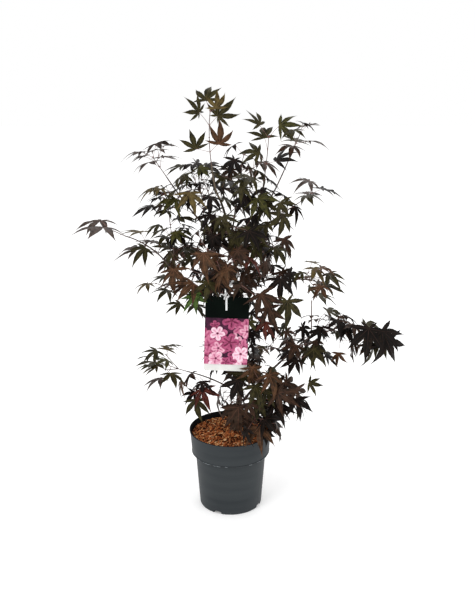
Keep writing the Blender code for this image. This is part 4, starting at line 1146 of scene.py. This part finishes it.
# the bark's coarse and fine grain: how fast each changes round the limb and along it
BARK_COARSE = (2.4, 55)
BARK_FINE = (5.0, 210)
BARK_FINE_SHARE = 0.5
NODE_SWELL = 0.16
NODE_LENGTH = 0.0022
NODE_SPACING = 0.052
FIRST_NODE = (0.3, 0.8)
COLLAR_REACH = 0.007
BOUGH_COLLAR = 0.45
TWIG_COLLAR = 0.3
TRUNK_SINK = 0.006
TRUNK_SINK_FLARE = 1.12
TRUNK_SKIN_SIDES = 26
BOUGH_SKIN_SIDES = 14
TWIG_SIDES = 6
TWIG_STEP = BARK_STEP * 1.6
TWIG_FURROW = BARK_FURROW * 0.7
FIRST_TWIG_SEED = 101
# a bud's size, how much the sizes differ, how far it stands out from the twig and leans along it
BUD_SIZE = 0.0016
BUD_SIZES = (0.7, 1.1)
TIP_BUD_SIZE = BUD_SIZE * 1.15
BUD_OUT = TWIG_RADIUS * 0.6
BUD_LEAN = 0.9
# a bud's line and width, in bud sizes
BUD_SHAPE = ((-0.2, 0.35), (0.3, 0.52), (0.8, 0.34), (1.5, 0.05))
# a bare dead twig that stands up from the low right bough's spray, with its rings' step, seed and furrows
DEAD_TWIG_FOOT = Vector((0.1812, 0.0005, 0.4130))
DEAD_TWIG_TIP = Vector((0.1798, 0.0005, 0.4980))
DEAD_TWIG_RADII = (0.0015, 0.0013, 0.0011)
DEAD_TWIG_BARK = (0.004, 5, 0.05)


def relief_tube(limb, sides, step, seed, furrow, collar=0.0):
    """A limb's skin: fine rings on a smoothed line, with shallow furrows, and a swelling at each node."""
    path, radii = limb.path, limb.radii
    length = length_of(path)
    count = max(4, round(length / step) + 1)
    if len(path) > 2:
        line = smooth_line(path, count)
    else:
        line = [path[0].lerp(path[-1], index / (count - 1)) for index in range(count)]
    first_node = random.Random(seed).uniform(*FIRST_NODE) * NODE_SPACING
    vertices = []
    for index, (point, across, other) in enumerate(framed(line)):
        place = index / (count - 1) * (len(radii) - 1)
        span = min(int(place), len(radii) - 2)
        radius = radii[span] + (radii[span + 1] - radii[span]) * (place - span)
        run = length * index / (count - 1)
        off_node = (run - first_node + NODE_SPACING / 2) % NODE_SPACING - NODE_SPACING / 2
        swell = 1 + NODE_SWELL * math.exp(-(off_node / NODE_LENGTH) ** 2)
        swell *= 1 + collar * math.exp(-run / COLLAR_REACH)
        coarse = Vector((seed * 3.7, run * BARK_COARSE[1], 0))
        fine = Vector((0, seed * 1.3, run * BARK_FINE[1]))
        for x, y in circle(sides):
            way = across * x + other * y
            rough = noise.noise(way * BARK_COARSE[0] + coarse)
            rough += BARK_FINE_SHARE * noise.noise(way * BARK_FINE[0] + fine)
            vertices.append(point + way * radius * swell * (1 + furrow * rough))
    return vertices, tube_faces(count, sides)


def rooted(limbs, parent, limb):
    """The limb carried back into the one that bears it, so that the fork shows no slit."""
    bearer = limbs[parent]
    path, radii = limb.path, limb.radii
    nearest = min(range(101), key=lambda share: (bearer.at(share / 100)[0] - path[0]).length)
    inner = bearer.at(nearest / 100)[0]
    if nearest == 100:
        inner = path[0] - (path[1] - path[0]).normalized() * radii[0] * 2
    return Limb([inner] + path, [radii[0]] + radii)


def make_bark(limbs, bark, young):
    trunk, boughs = Batch(), Batch()
    for number, (name, limb) in enumerate(limbs.items(), 1):
        if name == "trunk":
            foot = limb.path[0] - Vector((0, 0, TRUNK_SINK))
            limb = Limb([foot] + limb.path, [limb.radii[0] * TRUNK_SINK_FLARE] + limb.radii)
            trunk.add(*relief_tube(limb, TRUNK_SKIN_SIDES, BARK_STEP, number, BARK_FURROW))
        else:
            limb = rooted(limbs, BOUGHS[name][0], limb)
            skin = relief_tube(limb, BOUGH_SKIN_SIDES, BARK_STEP, number, BARK_FURROW, BOUGH_COLLAR)
            (trunk if name == "right_stem" else boughs).add(*skin)
    trunk.build("trunk_and_right_stem", [bark], "bark", ["trunk", "right_stem"], 80)
    boughs.build("boughs", [young], "bark", [name for name in BOUGHS if name != "right_stem"], 80)


def bud(point, way, size):
    """A small pointed bud on its node."""
    line = [point + way * size * along for along, _ in BUD_SHAPE]
    return tube(line, [size * width for _, width in BUD_SHAPE], 6)


def make_twigs(sprays, spurs, limbs, shoot, bud_skin):
    """Stems, side twigs and fine twigs, with a pair of buds at each node and each bare tip."""
    twigs, buds = Batch(), Batch()
    rng = random.Random(COLOUR_SEED + 1)
    seed = itertools.count(FIRST_TWIG_SEED)
    for name, spray in [*sprays.items(), ("spurs", spurs)]:
        for index, twig in enumerate(spray.twigs):
            joints = twig.path[-1:]
            if index == 0 and name != "spurs":
                twig = rooted(limbs, MASSES[name][0], twig)
                joints = twig.path[2:]
            twigs.add(*relief_tube(twig, TWIG_SIDES, TWIG_STEP, next(seed), TWIG_FURROW, TWIG_COLLAR))
            along = (twig.path[-1] - twig.path[-2]).normalized()
            for joint in joints:
                for way in pair_axes(along, rng.uniform(0, 90)):
                    lean = (way + along * BUD_LEAN).normalized()
                    buds.add(*bud(joint + lean * BUD_OUT, lean, BUD_SIZE * rng.uniform(*BUD_SIZES)))
            buds.add(*bud(twig.path[-1], along, TIP_BUD_SIZE))
    dead = Limb([DEAD_TWIG_FOOT, DEAD_TWIG_FOOT.lerp(DEAD_TWIG_TIP, 0.5), DEAD_TWIG_TIP], DEAD_TWIG_RADII)
    twigs.add(*relief_tube(dead, TWIG_SIDES, *DEAD_TWIG_BARK))
    twigs.build("twigs", [shoot], "foliage", list(MASSES), 80)
    buds.build("buds", [bud_skin], "foliage", [], 50)


# ---- the pot ------------------------------------------------------------------------------------
POT_SIDES = 128
PROFILE_TURNS = 5
COLLAR_BEAD = 0.0008
RIM_ROUND = 0.0006
RIM_BAND = 0.0030
# the drain notches under the edge of the base
NOTCHES = 4
NOTCH_TURN = 65
NOTCH_WIDTH = 0.019
NOTCH_HEIGHT = 0.0070
NOTCH_SPRING = 0.6
NOTCH_INWARD = 0.0110
# the pale marks along the collar's bead, partly scuff marks and partly a painted highlight, from one angle to
# another, 0 along +X and -90 at the front
SCUFF_GLINT_SPANS = (
    (-146, -139), (-134, -119), (-116, -104), (-98, -94), (-62, -57), (-49, -41), (-37, -22), (12, 21),
    (58, 66), (101, 107), (150, 161), (195, 199),
)
SCUFF_GLINT_STEP = 1.5
SCUFF_GLINT_SEED = 8
SCUFF_GLINT_RADIUS = 0.0006
SCUFF_GLINT_SINK = 0.0003
SCUFF_GLINT_WANDER = 0.0006
# a mark's width at its ends against its middle, and how uneven it is
SCUFF_GLINT_END = 0.55
SCUFF_GLINT_UNEVENNESS = (0.75, 1.0)


def rounded(corners):
    """An outline of (radius, height) with each corner that names a size turned into a short arc."""
    points = []
    for index, (radius, height, size) in enumerate(corners):
        if not size:
            points.append((radius, height))
            continue
        here = Vector((radius, height))
        ends = [Vector(corners[near % len(corners)][:2]) for near in (index - 1, index + 1)]
        start, end = (here + (other - here).normalized() * size for other in ends)
        points += [tuple(point) for point in bowed(start, here, end, PROFILE_TURNS)]
    return points


def pot_profile():
    """The pot's whole outline, outside and inside, with its true small roundings."""
    bead = COLLAR_RADIUS + COLLAR_BEAD
    (mouth, top), *within = pot_inside()
    return rounded([
        (0, 0, 0), (BASE_RADIUS - 0.0200, 0, 0), (BASE_RADIUS - 0.0006, 0, 0.0032),
        (BODY_TOP_RADIUS - 0.0004, STEP_HEIGHT - 0.0060, 0), (BODY_TOP_RADIUS, STEP_HEIGHT - 0.0024, 0.0018),
        (bead, STEP_HEIGHT - 0.0014, 0.0030), (bead, STEP_HEIGHT + 0.0012, 0.0006),
        (COLLAR_RADIUS, STEP_HEIGHT + 0.0030, 0.0008),
        (RIM_RADIUS - RIM_LIP - 0.0002, POT_HEIGHT - 0.0048, 0.0008),
        (RIM_RADIUS - RIM_LIP, POT_HEIGHT - 0.0034, 0),
        (RIM_RADIUS, POT_HEIGHT - RIM_BAND + 0.0002, 0.0005), (RIM_RADIUS, POT_HEIGHT, 0.0010),
        (mouth, top, 0.0010), *((radius, height, 0) for radius, height in within),
    ])


def plain_object(name, batch):
    obj = batch.mesh_object(name)
    shape = bmesh.new()
    shape.from_mesh(obj.data)
    bmesh.ops.recalc_face_normals(shape, faces=shape.faces)
    shape.to_mesh(obj.data)
    shape.free()
    return obj


def cut_with(obj, cutter):
    """Takes the cutter's shape out of the object for good."""
    cut = obj.modifiers.new("cut", "BOOLEAN")
    cut.operation = "DIFFERENCE"
    cut.solver = "EXACT"
    cut.object = cutter
    bpy.context.view_layer.update()
    result = bpy.data.meshes.new_from_object(obj.evaluated_get(bpy.context.evaluated_depsgraph_get()))
    obj.modifiers.remove(cut)
    obj.data = result
    bpy.data.objects.remove(cutter, do_unlink=True)


def make_pot(plastic, shaded_inside_plastic):
    wall, notches = Batch(), Batch()
    wall.add(*turned(pot_profile(), POT_SIDES))
    pot = plain_object("nursery_pot", wall)
    arch = [(-NOTCH_WIDTH / 2, -WALL)]
    for step in range(9):
        angle = math.pi - math.pi * step / 8
        height = NOTCH_HEIGHT * (NOTCH_SPRING + (1 - NOTCH_SPRING) * math.sin(angle))
        arch.append((NOTCH_WIDTH / 2 * math.cos(angle), height))
    arch.append((NOTCH_WIDTH / 2, -WALL))
    for index in range(NOTCHES):
        turn = Matrix.Rotation(math.radians(NOTCH_TURN + 360 * index / NOTCHES), 3, "Z")
        notches.add(*prism(*([turn @ Vector((out, y, z)) for y, z in arch]
                             for out in (BASE_RADIUS - NOTCH_INWARD, BASE_RADIUS + 2 * WALL))))
    cut_with(pot, plain_object("notches", notches))
    pot.data.materials.clear()
    dress(pot, [plastic, shaded_inside_plastic], ["pot"], 38)
    # the inward faces and the rim's top take the darker copy of the plastic: painted shade
    for face in pot.data.polygons:
        inward = face.normal.x * face.center.x + face.normal.y * face.center.y < 0
        face.material_index = 1 if inward or face.center.z > POT_HEIGHT - RIM_ROUND else 0


def make_scuffs_and_glints(scuff_glint_finish):
    """Short pale lines that stand a hair proud of the bead, thinning out at both ends: partly scuff marks,
    partly a painted highlight.
    """
    rng = random.Random(SCUFF_GLINT_SEED)
    scuff_glints = Batch()
    reach = COLLAR_RADIUS + COLLAR_BEAD - SCUFF_GLINT_SINK
    for first, last in SCUFF_GLINT_SPANS:
        steps = max(3, round((last - first) / SCUFF_GLINT_STEP))
        path, radii = [], []
        for step in range(steps + 1):
            share = step / steps
            angle = math.radians(first + (last - first) * share)
            height = STEP_HEIGHT + rng.uniform(-SCUFF_GLINT_WANDER, SCUFF_GLINT_WANDER)
            path.append(Vector((reach * math.cos(angle), reach * math.sin(angle), height)))
            swell = SCUFF_GLINT_END + (1 - SCUFF_GLINT_END) * math.sin(math.pi * share)
            radii.append(SCUFF_GLINT_RADIUS * swell * rng.uniform(*SCUFF_GLINT_UNEVENNESS))
        scuff_glints.add(*tube(path, radii, 6))
    scuff_glints.build("pot_scuffs_and_painted_glints", [scuff_glint_finish], "pot", [], 60)


# ---- compost and its mulch ----------------------------------------------------------------------
BED_RINGS = 26
BED_SIDES = 96
BED_DROP = 0.0042
BED_MOUND = SOIL_MOUND + 0.0015
# the bed's lumps: how close they lie, a place in the noise, and how high they are
BED_LUMPS = ((60, 3.1, 0.0016), (220, 7.7, 0.0008))
BED_FOOT = STEP_HEIGHT + 0.012
CHIP_SEED = 12
CHIPS = 2700
CHIP_LENGTH = (0.0028, 0.0090)
CHIP_WIDTH = (0.18, 0.42)
CHIP_THICKNESS = (0.0005, 0.0014)
CHIP_LAYER = (0.0002, 0.0034)
CHIP_EDGE_GAP = 0.0004
# how much the chips tilt about their own Y and X, in radians
CHIP_TILT = (0.30, 0.45)
# a share of the chips is longer
LONG_CHIP_SHARE = 0.15
LONG_CHIP = 1.7
# a torn flake's corners, along it and out from its middle line, as shares of half its size
CHIP_CORNERS = ((-1, 0.3), (-0.6, 1), (0.35, 1), (1, 0.25), (0.7, -0.8), (-0.5, -1))
# how ragged its ends, sides and faces are, how much it bends, and how much smaller its top is
CHIP_ENDS = (0.8, 1.1)
CHIP_FLANKS = (0.6, 1.15)
CHIP_FACES = (0.7, 1.2)
CHIP_BEND = (-0.3, 0.3)
CHIP_TOP = 0.86
# a darker and a lighter tone, and how many chips have them
CHIP_TONES = (
    ((164, 90, 48), (214, 132, 80), 9), ((188, 120, 70), (236, 174, 118), 6),
    ((124, 62, 34), (168, 94, 54), 8), ((74, 36, 20), (112, 60, 34), 4),
    ((214, 160, 110), (244, 208, 162), 2), ((30, 16, 9), (58, 32, 18), 3),
)


def bed_height(x, y):
    """The height of the compost's top at a place: its mound, and lumps under the mulch."""
    share = max(0.0, min(1.0, (COMPOST_RADIUS - math.hypot(x, y)) / (COMPOST_RADIUS - SOIL_PLATEAU)))
    lumps = sum(noise.noise(Vector((x * close, y * close, place))) * high for close, place, high in BED_LUMPS)
    return SOIL_LEVEL - BED_DROP + BED_MOUND * share + lumps


def make_bed(soil):
    """The filling's top, lumpy, closed down to below the mulch."""
    vertices = [Vector((0, 0, bed_height(0, 0)))]
    for ring in range(1, BED_RINGS + 1):
        radius = COMPOST_RADIUS * ring / BED_RINGS
        places = [(radius * x, radius * y) for x, y in circle(BED_SIDES)]
        vertices += [Vector((x, y, bed_height(x, y))) for x, y in places]
    vertices += [Vector((rim.x * 0.97, rim.y * 0.97, BED_FOOT)) for rim in vertices[-BED_SIDES:]]
    faces = [(0, 1 + side, 1 + (side + 1) % BED_SIDES) for side in range(BED_SIDES)]
    for first in range(1, 1 + BED_RINGS * BED_SIDES, BED_SIDES):
        for side in range(BED_SIDES):
            here, beside = first + side, first + (side + 1) % BED_SIDES
            faces.append((here, here + BED_SIDES, beside + BED_SIDES, beside))
    faces.append(tuple(reversed(range(len(vertices) - BED_SIDES, len(vertices)))))
    batch = Batch()
    batch.add(vertices, faces)
    batch.build("compost_bed", [soil], "compost", ["compost"], 80)


def chip(rng, length, width, thick):
    """A torn flake of bark: a flat six-sided splinter with slanting ends."""
    outline = [(along * length / 2 * rng.uniform(*CHIP_ENDS), out * width / 2 * rng.uniform(*CHIP_FLANKS))
               for along, out in CHIP_CORNERS]
    bend = rng.uniform(*CHIP_BEND) * thick

    def face(lift, size):
        return [Vector((x * size, y * size, lift * rng.uniform(*CHIP_FACES) + bend * (x / length) ** 2))
                for x, y in outline]

    return prism(face(thick / 2, CHIP_TOP), face(-thick / 2, 1.0))


def make_mulch():
    """Loose bark chips over the whole of the filling, lying on it and on each other."""
    rng = random.Random(CHIP_SEED)
    batch = Batch()
    tones = [index for index, row in enumerate(CHIP_TONES) for _ in range(row[2])]
    for _ in range(CHIPS):
        length = rng.uniform(*CHIP_LENGTH) * (1 if rng.random() < 1 - LONG_CHIP_SHARE else LONG_CHIP)
        width = length * rng.uniform(*CHIP_WIDTH)
        thick = rng.uniform(*CHIP_THICKNESS)
        radius = (COMPOST_RADIUS - length * 0.5 - CHIP_EDGE_GAP) * math.sqrt(rng.random())
        angle = rng.uniform(0, 2 * math.pi)
        x, y = radius * math.cos(angle), radius * math.sin(angle)
        turn = Matrix.Rotation(rng.uniform(0, 2 * math.pi), 3, "Z")
        for tilt, axis in zip(CHIP_TILT, "YX"):
            turn = turn @ Matrix.Rotation(rng.gauss(0, tilt), 3, axis)
        place = Vector((x, y, bed_height(x, y) + rng.uniform(*CHIP_LAYER)))
        vertices, faces = chip(rng, length, width, thick)
        batch.add([place + turn @ point for point in vertices], faces, rng.choice(tones))
    finishes = [finish(f"bark_chip_{index}", dark, light, 0.9, 0.05, 260, (1, 1, 2.5), 0.6, 1300, 0.0005)
                for index, (dark, light, _) in enumerate(CHIP_TONES)]
    batch.build("bark_mulch", finishes, "compost", ["compost"], 25)


# ---- the label ----------------------------------------------------------------------------------
# bands of the card's face, down from its top edge
LABEL_DARK = 0.0480
LABEL_PICTURE = 0.1540
LABEL_LIFT = 0.00006
# print reaches this near the card's edge, starts this deep in it, and each layer stands this proud
PRINT_MARGIN = 0.0001
PRINT_SINK = 0.00002
PETAL_LIFT = 0.000006
FIRST_PETAL_LAYER = 4
CARD_BEVEL = 0.00025
HEAD_FOLD = 0.0004
BLOSSOM_SEED = 8
BLOSSOMS = 40
BLOSSOM_RADIUS = (0.0110, 0.0220)
# blossoms start a little below the picture's upper edge and gather towards its lower one
BLOSSOM_CROWDING = 1.35
BLOSSOM_TOP = LABEL_DARK + 0.004
# each petal's middle, half length and half width as shares of the blossom: its whole, then its streak
PETAL_SHAPES = ((0.56, 0.44, 0.33), (0.42, 0.34, 0.10))
PETAL_POINTS = 16
PETAL_TAPER = 0.25
BLOSSOM_EYE = 0.16
BLOSSOM_EYE_POINTS = 10
# the inks' numbers: a head and a field, petals with the streak that each has, and the eye
DARK_INK, FIELD_INK, EYE_INK = 0, 1, 6
PETAL_INKS = (2, 2, 2, 3, 3, 4, 5, 5)
STREAK_INKS = {2: 5, 3: 2, 4: 3, 5: 6}
# each ink: its two tones, roughness, specular and the scale of its drift
INKS = {
    "dark_green": ((2, 6, 4), (6, 13, 9), 0.5, 0.03, 30),
    "plum": ((34, 14, 30), (84, 36, 64), 0.4, 0.1, 90),
    "pink": ((168, 84, 118), (204, 122, 152), 0.4, 0.1, 160),
    "pale_pink": ((202, 136, 160), (226, 172, 190), 0.4, 0.1, 160),
    "blush": ((222, 178, 196), (238, 206, 218), 0.4, 0.1, 160),
    "rose": ((140, 56, 92), (178, 86, 122), 0.4, 0.1, 160),
    "wine": ((88, 26, 54), (126, 50, 80), 0.4, 0.1, 160),
}
# the strap's free end, which curls open above the card: its size, the degrees of its turn as a range,
# and the way on from there
CURL_RADIUS = 0.0052
CURL_THICKNESS = 0.0011
CURL_FORWARD = 0.0016
CURL_TURN = (-140, 181, 40)
CURL_TAIL = ((-0.0050, 0.0032), (-0.0085, 0.0010), (-0.0120, 0.0066))
CURL_RINGS = 48


def card_rim(margin=0.0):
    """The card's outline with its small round corners, in its own x and z."""
    corner = LABEL_CORNER
    right = LABEL_WIDTH / 2 - corner
    low = -LABEL_HEIGHT + corner
    rim = []
    for quarter, (x, z) in enumerate(((right, -corner), (-right, -corner), (-right, low), (right, low))):
        for step in range(5):
            angle = math.radians(90 * quarter + 22.5 * step)
            rim.append((x + (corner - margin) * math.cos(angle), z + (corner - margin) * math.sin(angle)))
    return rim


def clipped(polygon, limits):
    """A convex polygon cut to limits, each an axis, a value there, and the side of it that stays."""
    for axis, limit, sign in limits:
        kept = []
        for index, here in enumerate(polygon):
            before = polygon[index - 1]
            inside_here = (here[axis] - limit) * sign >= 0
            inside_before = (before[axis] - limit) * sign >= 0
            if inside_here != inside_before:
                t = (limit - before[axis]) / (here[axis] - before[axis])
                kept.append((before[0] + (here[0] - before[0]) * t, before[1] + (here[1] - before[1]) * t))
            if inside_here:
                kept.append(here)
        polygon = kept
    return polygon


def make_label():
    """A printed card: a dark head, a field of plain five-petalled blossoms, and a bare foot."""
    hung = Matrix.Translation(LABEL_TOP) @ Matrix.Rotation(math.radians(LABEL_TURN), 4, "Y")
    half = LABEL_THICKNESS / 2
    edge = LABEL_WIDTH / 2 - PRINT_MARGIN

    def flat(outline, y):
        return [hung @ Vector((x, y, z)) for x, z in outline]

    rim, inner = card_rim(), card_rim(CARD_BEVEL)
    rings = ((inner, half), (rim, half * 0.5), (rim, -half * 0.5), (inner, -half))
    card = Batch()
    card.add([point for outline, y in rings for point in flat(outline, y)], tube_faces(4, len(rim)))
    stock = finish("card_stock", (206, 206, 202), (220, 220, 216), 0.4, 0.2, 40, bump=0.05)
    card.build("label_card", [stock], "label", ["label"], 50)

    face = Batch()
    picture = ((0, -edge, 1), (0, edge, -1), (1, -LABEL_PICTURE, 1), (1, -LABEL_DARK, -1))

    def lay(polygon, layer, ink):
        """A patch of ink on the card's face, on top of the earlier layers."""
        if len(polygon) < 3:
            return
        area = sum(a[0] * b[1] - b[0] * a[1] for a, b in zip(polygon, polygon[1:] + polygon[:1]))
        polygon = polygon if area > 0 else polygon[::-1]
        front = -half - LABEL_LIFT - PETAL_LIFT * layer
        face.add(*prism(flat(polygon, front), flat(polygon, PRINT_SINK - half)), ink)

    def band(top, low):
        return [(-edge, -top), (edge, -top), (edge, -low), (-edge, -low)]

    lay(band(HEAD_FOLD, LABEL_DARK), 0, DARK_INK)
    fold_x, fold_y = edge - LABEL_CORNER, half + LABEL_LIFT
    corners = ((-fold_x, -fold_y), (fold_x, -fold_y), (fold_x, fold_y), (-fold_x, fold_y))
    face.add(*prism(*[[hung @ Vector((x, y, z)) for x, y in corners] for z in (LABEL_LIFT, -HEAD_FOLD * 2)]),
             DARK_INK)
    lay(band(LABEL_DARK, LABEL_PICTURE), 0, FIELD_INK)
    rng = random.Random(BLOSSOM_SEED)
    layer = FIRST_PETAL_LAYER
    for _ in range(BLOSSOMS):
        z = -BLOSSOM_TOP - (LABEL_PICTURE - LABEL_DARK) * (1 - (1 - rng.random()) ** BLOSSOM_CROWDING)
        x = rng.uniform(-edge, edge)
        size = rng.uniform(*BLOSSOM_RADIUS)
        turn = rng.uniform(0, 2 * math.pi)
        ink = rng.choice(PETAL_INKS)
        shapes = []
        for petal in range(5):
            angle = turn + 2 * math.pi * petal / 5
            ahead_x, ahead_z = math.cos(angle), math.sin(angle)
            for (middle, long, wide), tone in zip(PETAL_SHAPES, (ink, STREAK_INKS[ink])):
                outline = []
                for across, up in circle(PETAL_POINTS):
                    along = size * (middle + long * across)
                    out = size * wide * up * (1 + PETAL_TAPER * across)
                    outline.append((x + along * ahead_x - out * ahead_z, z + along * ahead_z + out * ahead_x))
                shapes.append((outline, tone))
        eye = size * BLOSSOM_EYE
        disc = [(x + eye * across, z + eye * up) for across, up in circle(BLOSSOM_EYE_POINTS)]
        shapes.append((disc, EYE_INK))
        for outline, tone in shapes:
            lay(clipped(outline, picture), layer, tone)
            layer += 1
    inks = [finish("print_" + name, *look, bump=0.03) for name, look in INKS.items()]
    face.build("label_print", inks, "label", ["label"], 30)


def make_strap_curl(white):
    """The strap's free end, twisted into a small open curl that stands on the card's top edge."""
    y = LABEL_TOP.y - LABEL_THICKNESS / 2 - STRAP_THICKNESS - CURL_FORWARD
    middle = Vector((LABEL_TOP.x + STRAP_X + CURL_RADIUS, y, LABEL_TOP.z + CURL_RADIUS * 0.8))
    knots = [Vector((LABEL_TOP.x + STRAP_X, y + CURL_FORWARD, LABEL_TOP.z - CURL_RADIUS))]
    for degrees in range(*CURL_TURN):
        angle = math.radians(degrees)
        knots.append(middle + Vector((math.cos(angle), 0, math.sin(angle))) * CURL_RADIUS)
    knots += [middle + Vector((aside - CURL_RADIUS, 0, rise)) for aside, rise in CURL_TAIL]
    batch = Batch()
    batch.add(*tube(smooth_line(knots, CURL_RINGS), [CURL_THICKNESS] * CURL_RINGS, 8))
    batch.build("strap_curl", [white], "label", [], 60)


# ---- the stage ----------------------------------------------------------------------------------
FLOOR_SIZE = 6.0
FLOOR_GLOW = 0.16
WORLD_STRENGTH = 1.0
WHITE = (1.0, 1.0, 1.0, 1.0)
# each light's place, the point it looks at, its width and height, and its power
LIGHTS = (
    ("key_softbox", (-1.6, -1.9, 2.4), (0, 0, 0.5), 1.4, 1.4, 26),
    ("fill_softbox", (1.9, -1.3, 1.3), (0, 0, 0.45), 1.2, 1.6, 9),
    ("rim_softbox", (0.6, 2.0, 2.2), (0, 0, 0.6), 1.4, 1.0, 12),
)
CAMERA_LENS = 57.3
CAMERA_PLACE = (0.0160, -2.0, 1.173)
CAMERA_PITCH = 18.62


def make_stage():
    size = FLOOR_SIZE
    mesh = bpy.data.meshes.new("floor")
    corners = [(-size, -size, 0), (size, -size, 0), (size, size, 0), (-size, size, 0)]
    mesh.from_pydata(corners, [], [(0, 1, 2, 3)])
    paper = finish("studio_floor", (250, 250, 250), (252, 252, 252), 0.9, 0.05, 3, bump=0.0)
    sockets = paper.node_tree.nodes["Principled BSDF"].inputs
    sockets["Emission Color"].default_value = WHITE
    sockets["Emission Strength"].default_value = FLOOR_GLOW
    mesh.materials.append(paper)
    floor = linked("floor", mesh)
    world = bpy.data.worlds.new("studio")
    bpy.context.scene.world = world
    world.use_nodes = True
    sockets = world.node_tree.nodes["Background"].inputs
    sockets["Color"].default_value = WHITE
    sockets["Strength"].default_value = WORLD_STRENGTH
    for name, place, aim, width, height, power in LIGHTS:
        light = bpy.data.lights.new(name, "AREA")
        light.shape = "RECTANGLE"
        light.size = width
        light.size_y = height
        light.energy = power
        lamp = linked(name, light)
        lamp.location = place
        lamp.rotation_euler = (Vector(aim) - Vector(place)).to_track_quat("-Z", "Y").to_euler()
    view = bpy.context.scene.view_settings
    view.view_transform = "Standard"
    view.look = "None"
    view.exposure = 0.0
    lens = bpy.data.cameras.new("camera")
    lens.lens = CAMERA_LENS
    lens.sensor_width = 36.0
    camera = linked("camera", lens)
    camera.location = CAMERA_PLACE
    camera.rotation_euler = (math.radians(90 - CAMERA_PITCH), 0, 0)
    bpy.context.scene.camera = camera


def node_shape(name):
    mesh = NODES[name].data
    return [vertex.co.copy() for vertex in mesh.vertices], [tuple(face.vertices) for face in mesh.polygons]


def main():
    stands = [node_shape("pot"), soil_cover(), node_shape("label"), node_shape("label_strap"), label_view()]
    limbs, sprays, taken = grow_plant(stands)
    spurs = thicken(sprays, limbs, taken)
    bark = finish("trunk_bark", (62, 54, 44), (104, 92, 78), 0.78, 0.2, 90, (1, 1, 0.35), 0.7, 900, 0.0006)
    young = finish("bough_bark", (54, 42, 38), (88, 72, 64), 0.66, 0.25, 120, (1, 1, 0.6), 0.5, 900)
    make_bark(limbs, bark, young)
    shoot = finish("twig_bark", (74, 54, 50), (106, 82, 74), 0.58, 0.28, 160, bump=0.3, bump_scale=1200)
    make_twigs(sprays, spurs, limbs, shoot, finish("bud_skin", (92, 40, 32), (128, 64, 50), 0.45, 0.3, 300))
    make_leaves(sprays, spurs, finish("leaf_stalk", (96, 66, 62), (134, 98, 92), 0.5, 0.3, 140, bump=0.15))
    # the pot's second finish is a darker copy of its plastic for the inner faces and the rim's top: painted
    # shade
    make_pot(finish("slate_plastic", (45, 49, 52), (55, 59, 61), 0.50, 0.11, 14, (0.25, 0.25, 3), 0.22, 300,
                    0.0002),
             finish("slate_plastic_inside_painted_shade", (20, 22, 24), (29, 31, 33), 0.6, 0.05, 30))
    # pale marks on the collar's bead: partly scuff marks, partly painted highlight
    make_scuffs_and_glints(finish("scuffed_plastic_painted_glint", (92, 99, 104), (150, 156, 160), 0.6, 0.08, 400))
    make_bed(finish("wet_compost", (56, 28, 16), (96, 52, 30), 0.95, 0.03, 220, bump=0.9, bump_scale=700))
    make_mulch()
    make_label()
    white = finish("white_strap", (226, 228, 228), (242, 243, 243), 0.34, 0.4, 80, bump=0.05)
    strap = NODES["label_strap"]
    strap.data.materials.clear()
    strap.data.materials.append(white)
    make_strap_curl(white)


main()
make_stage()
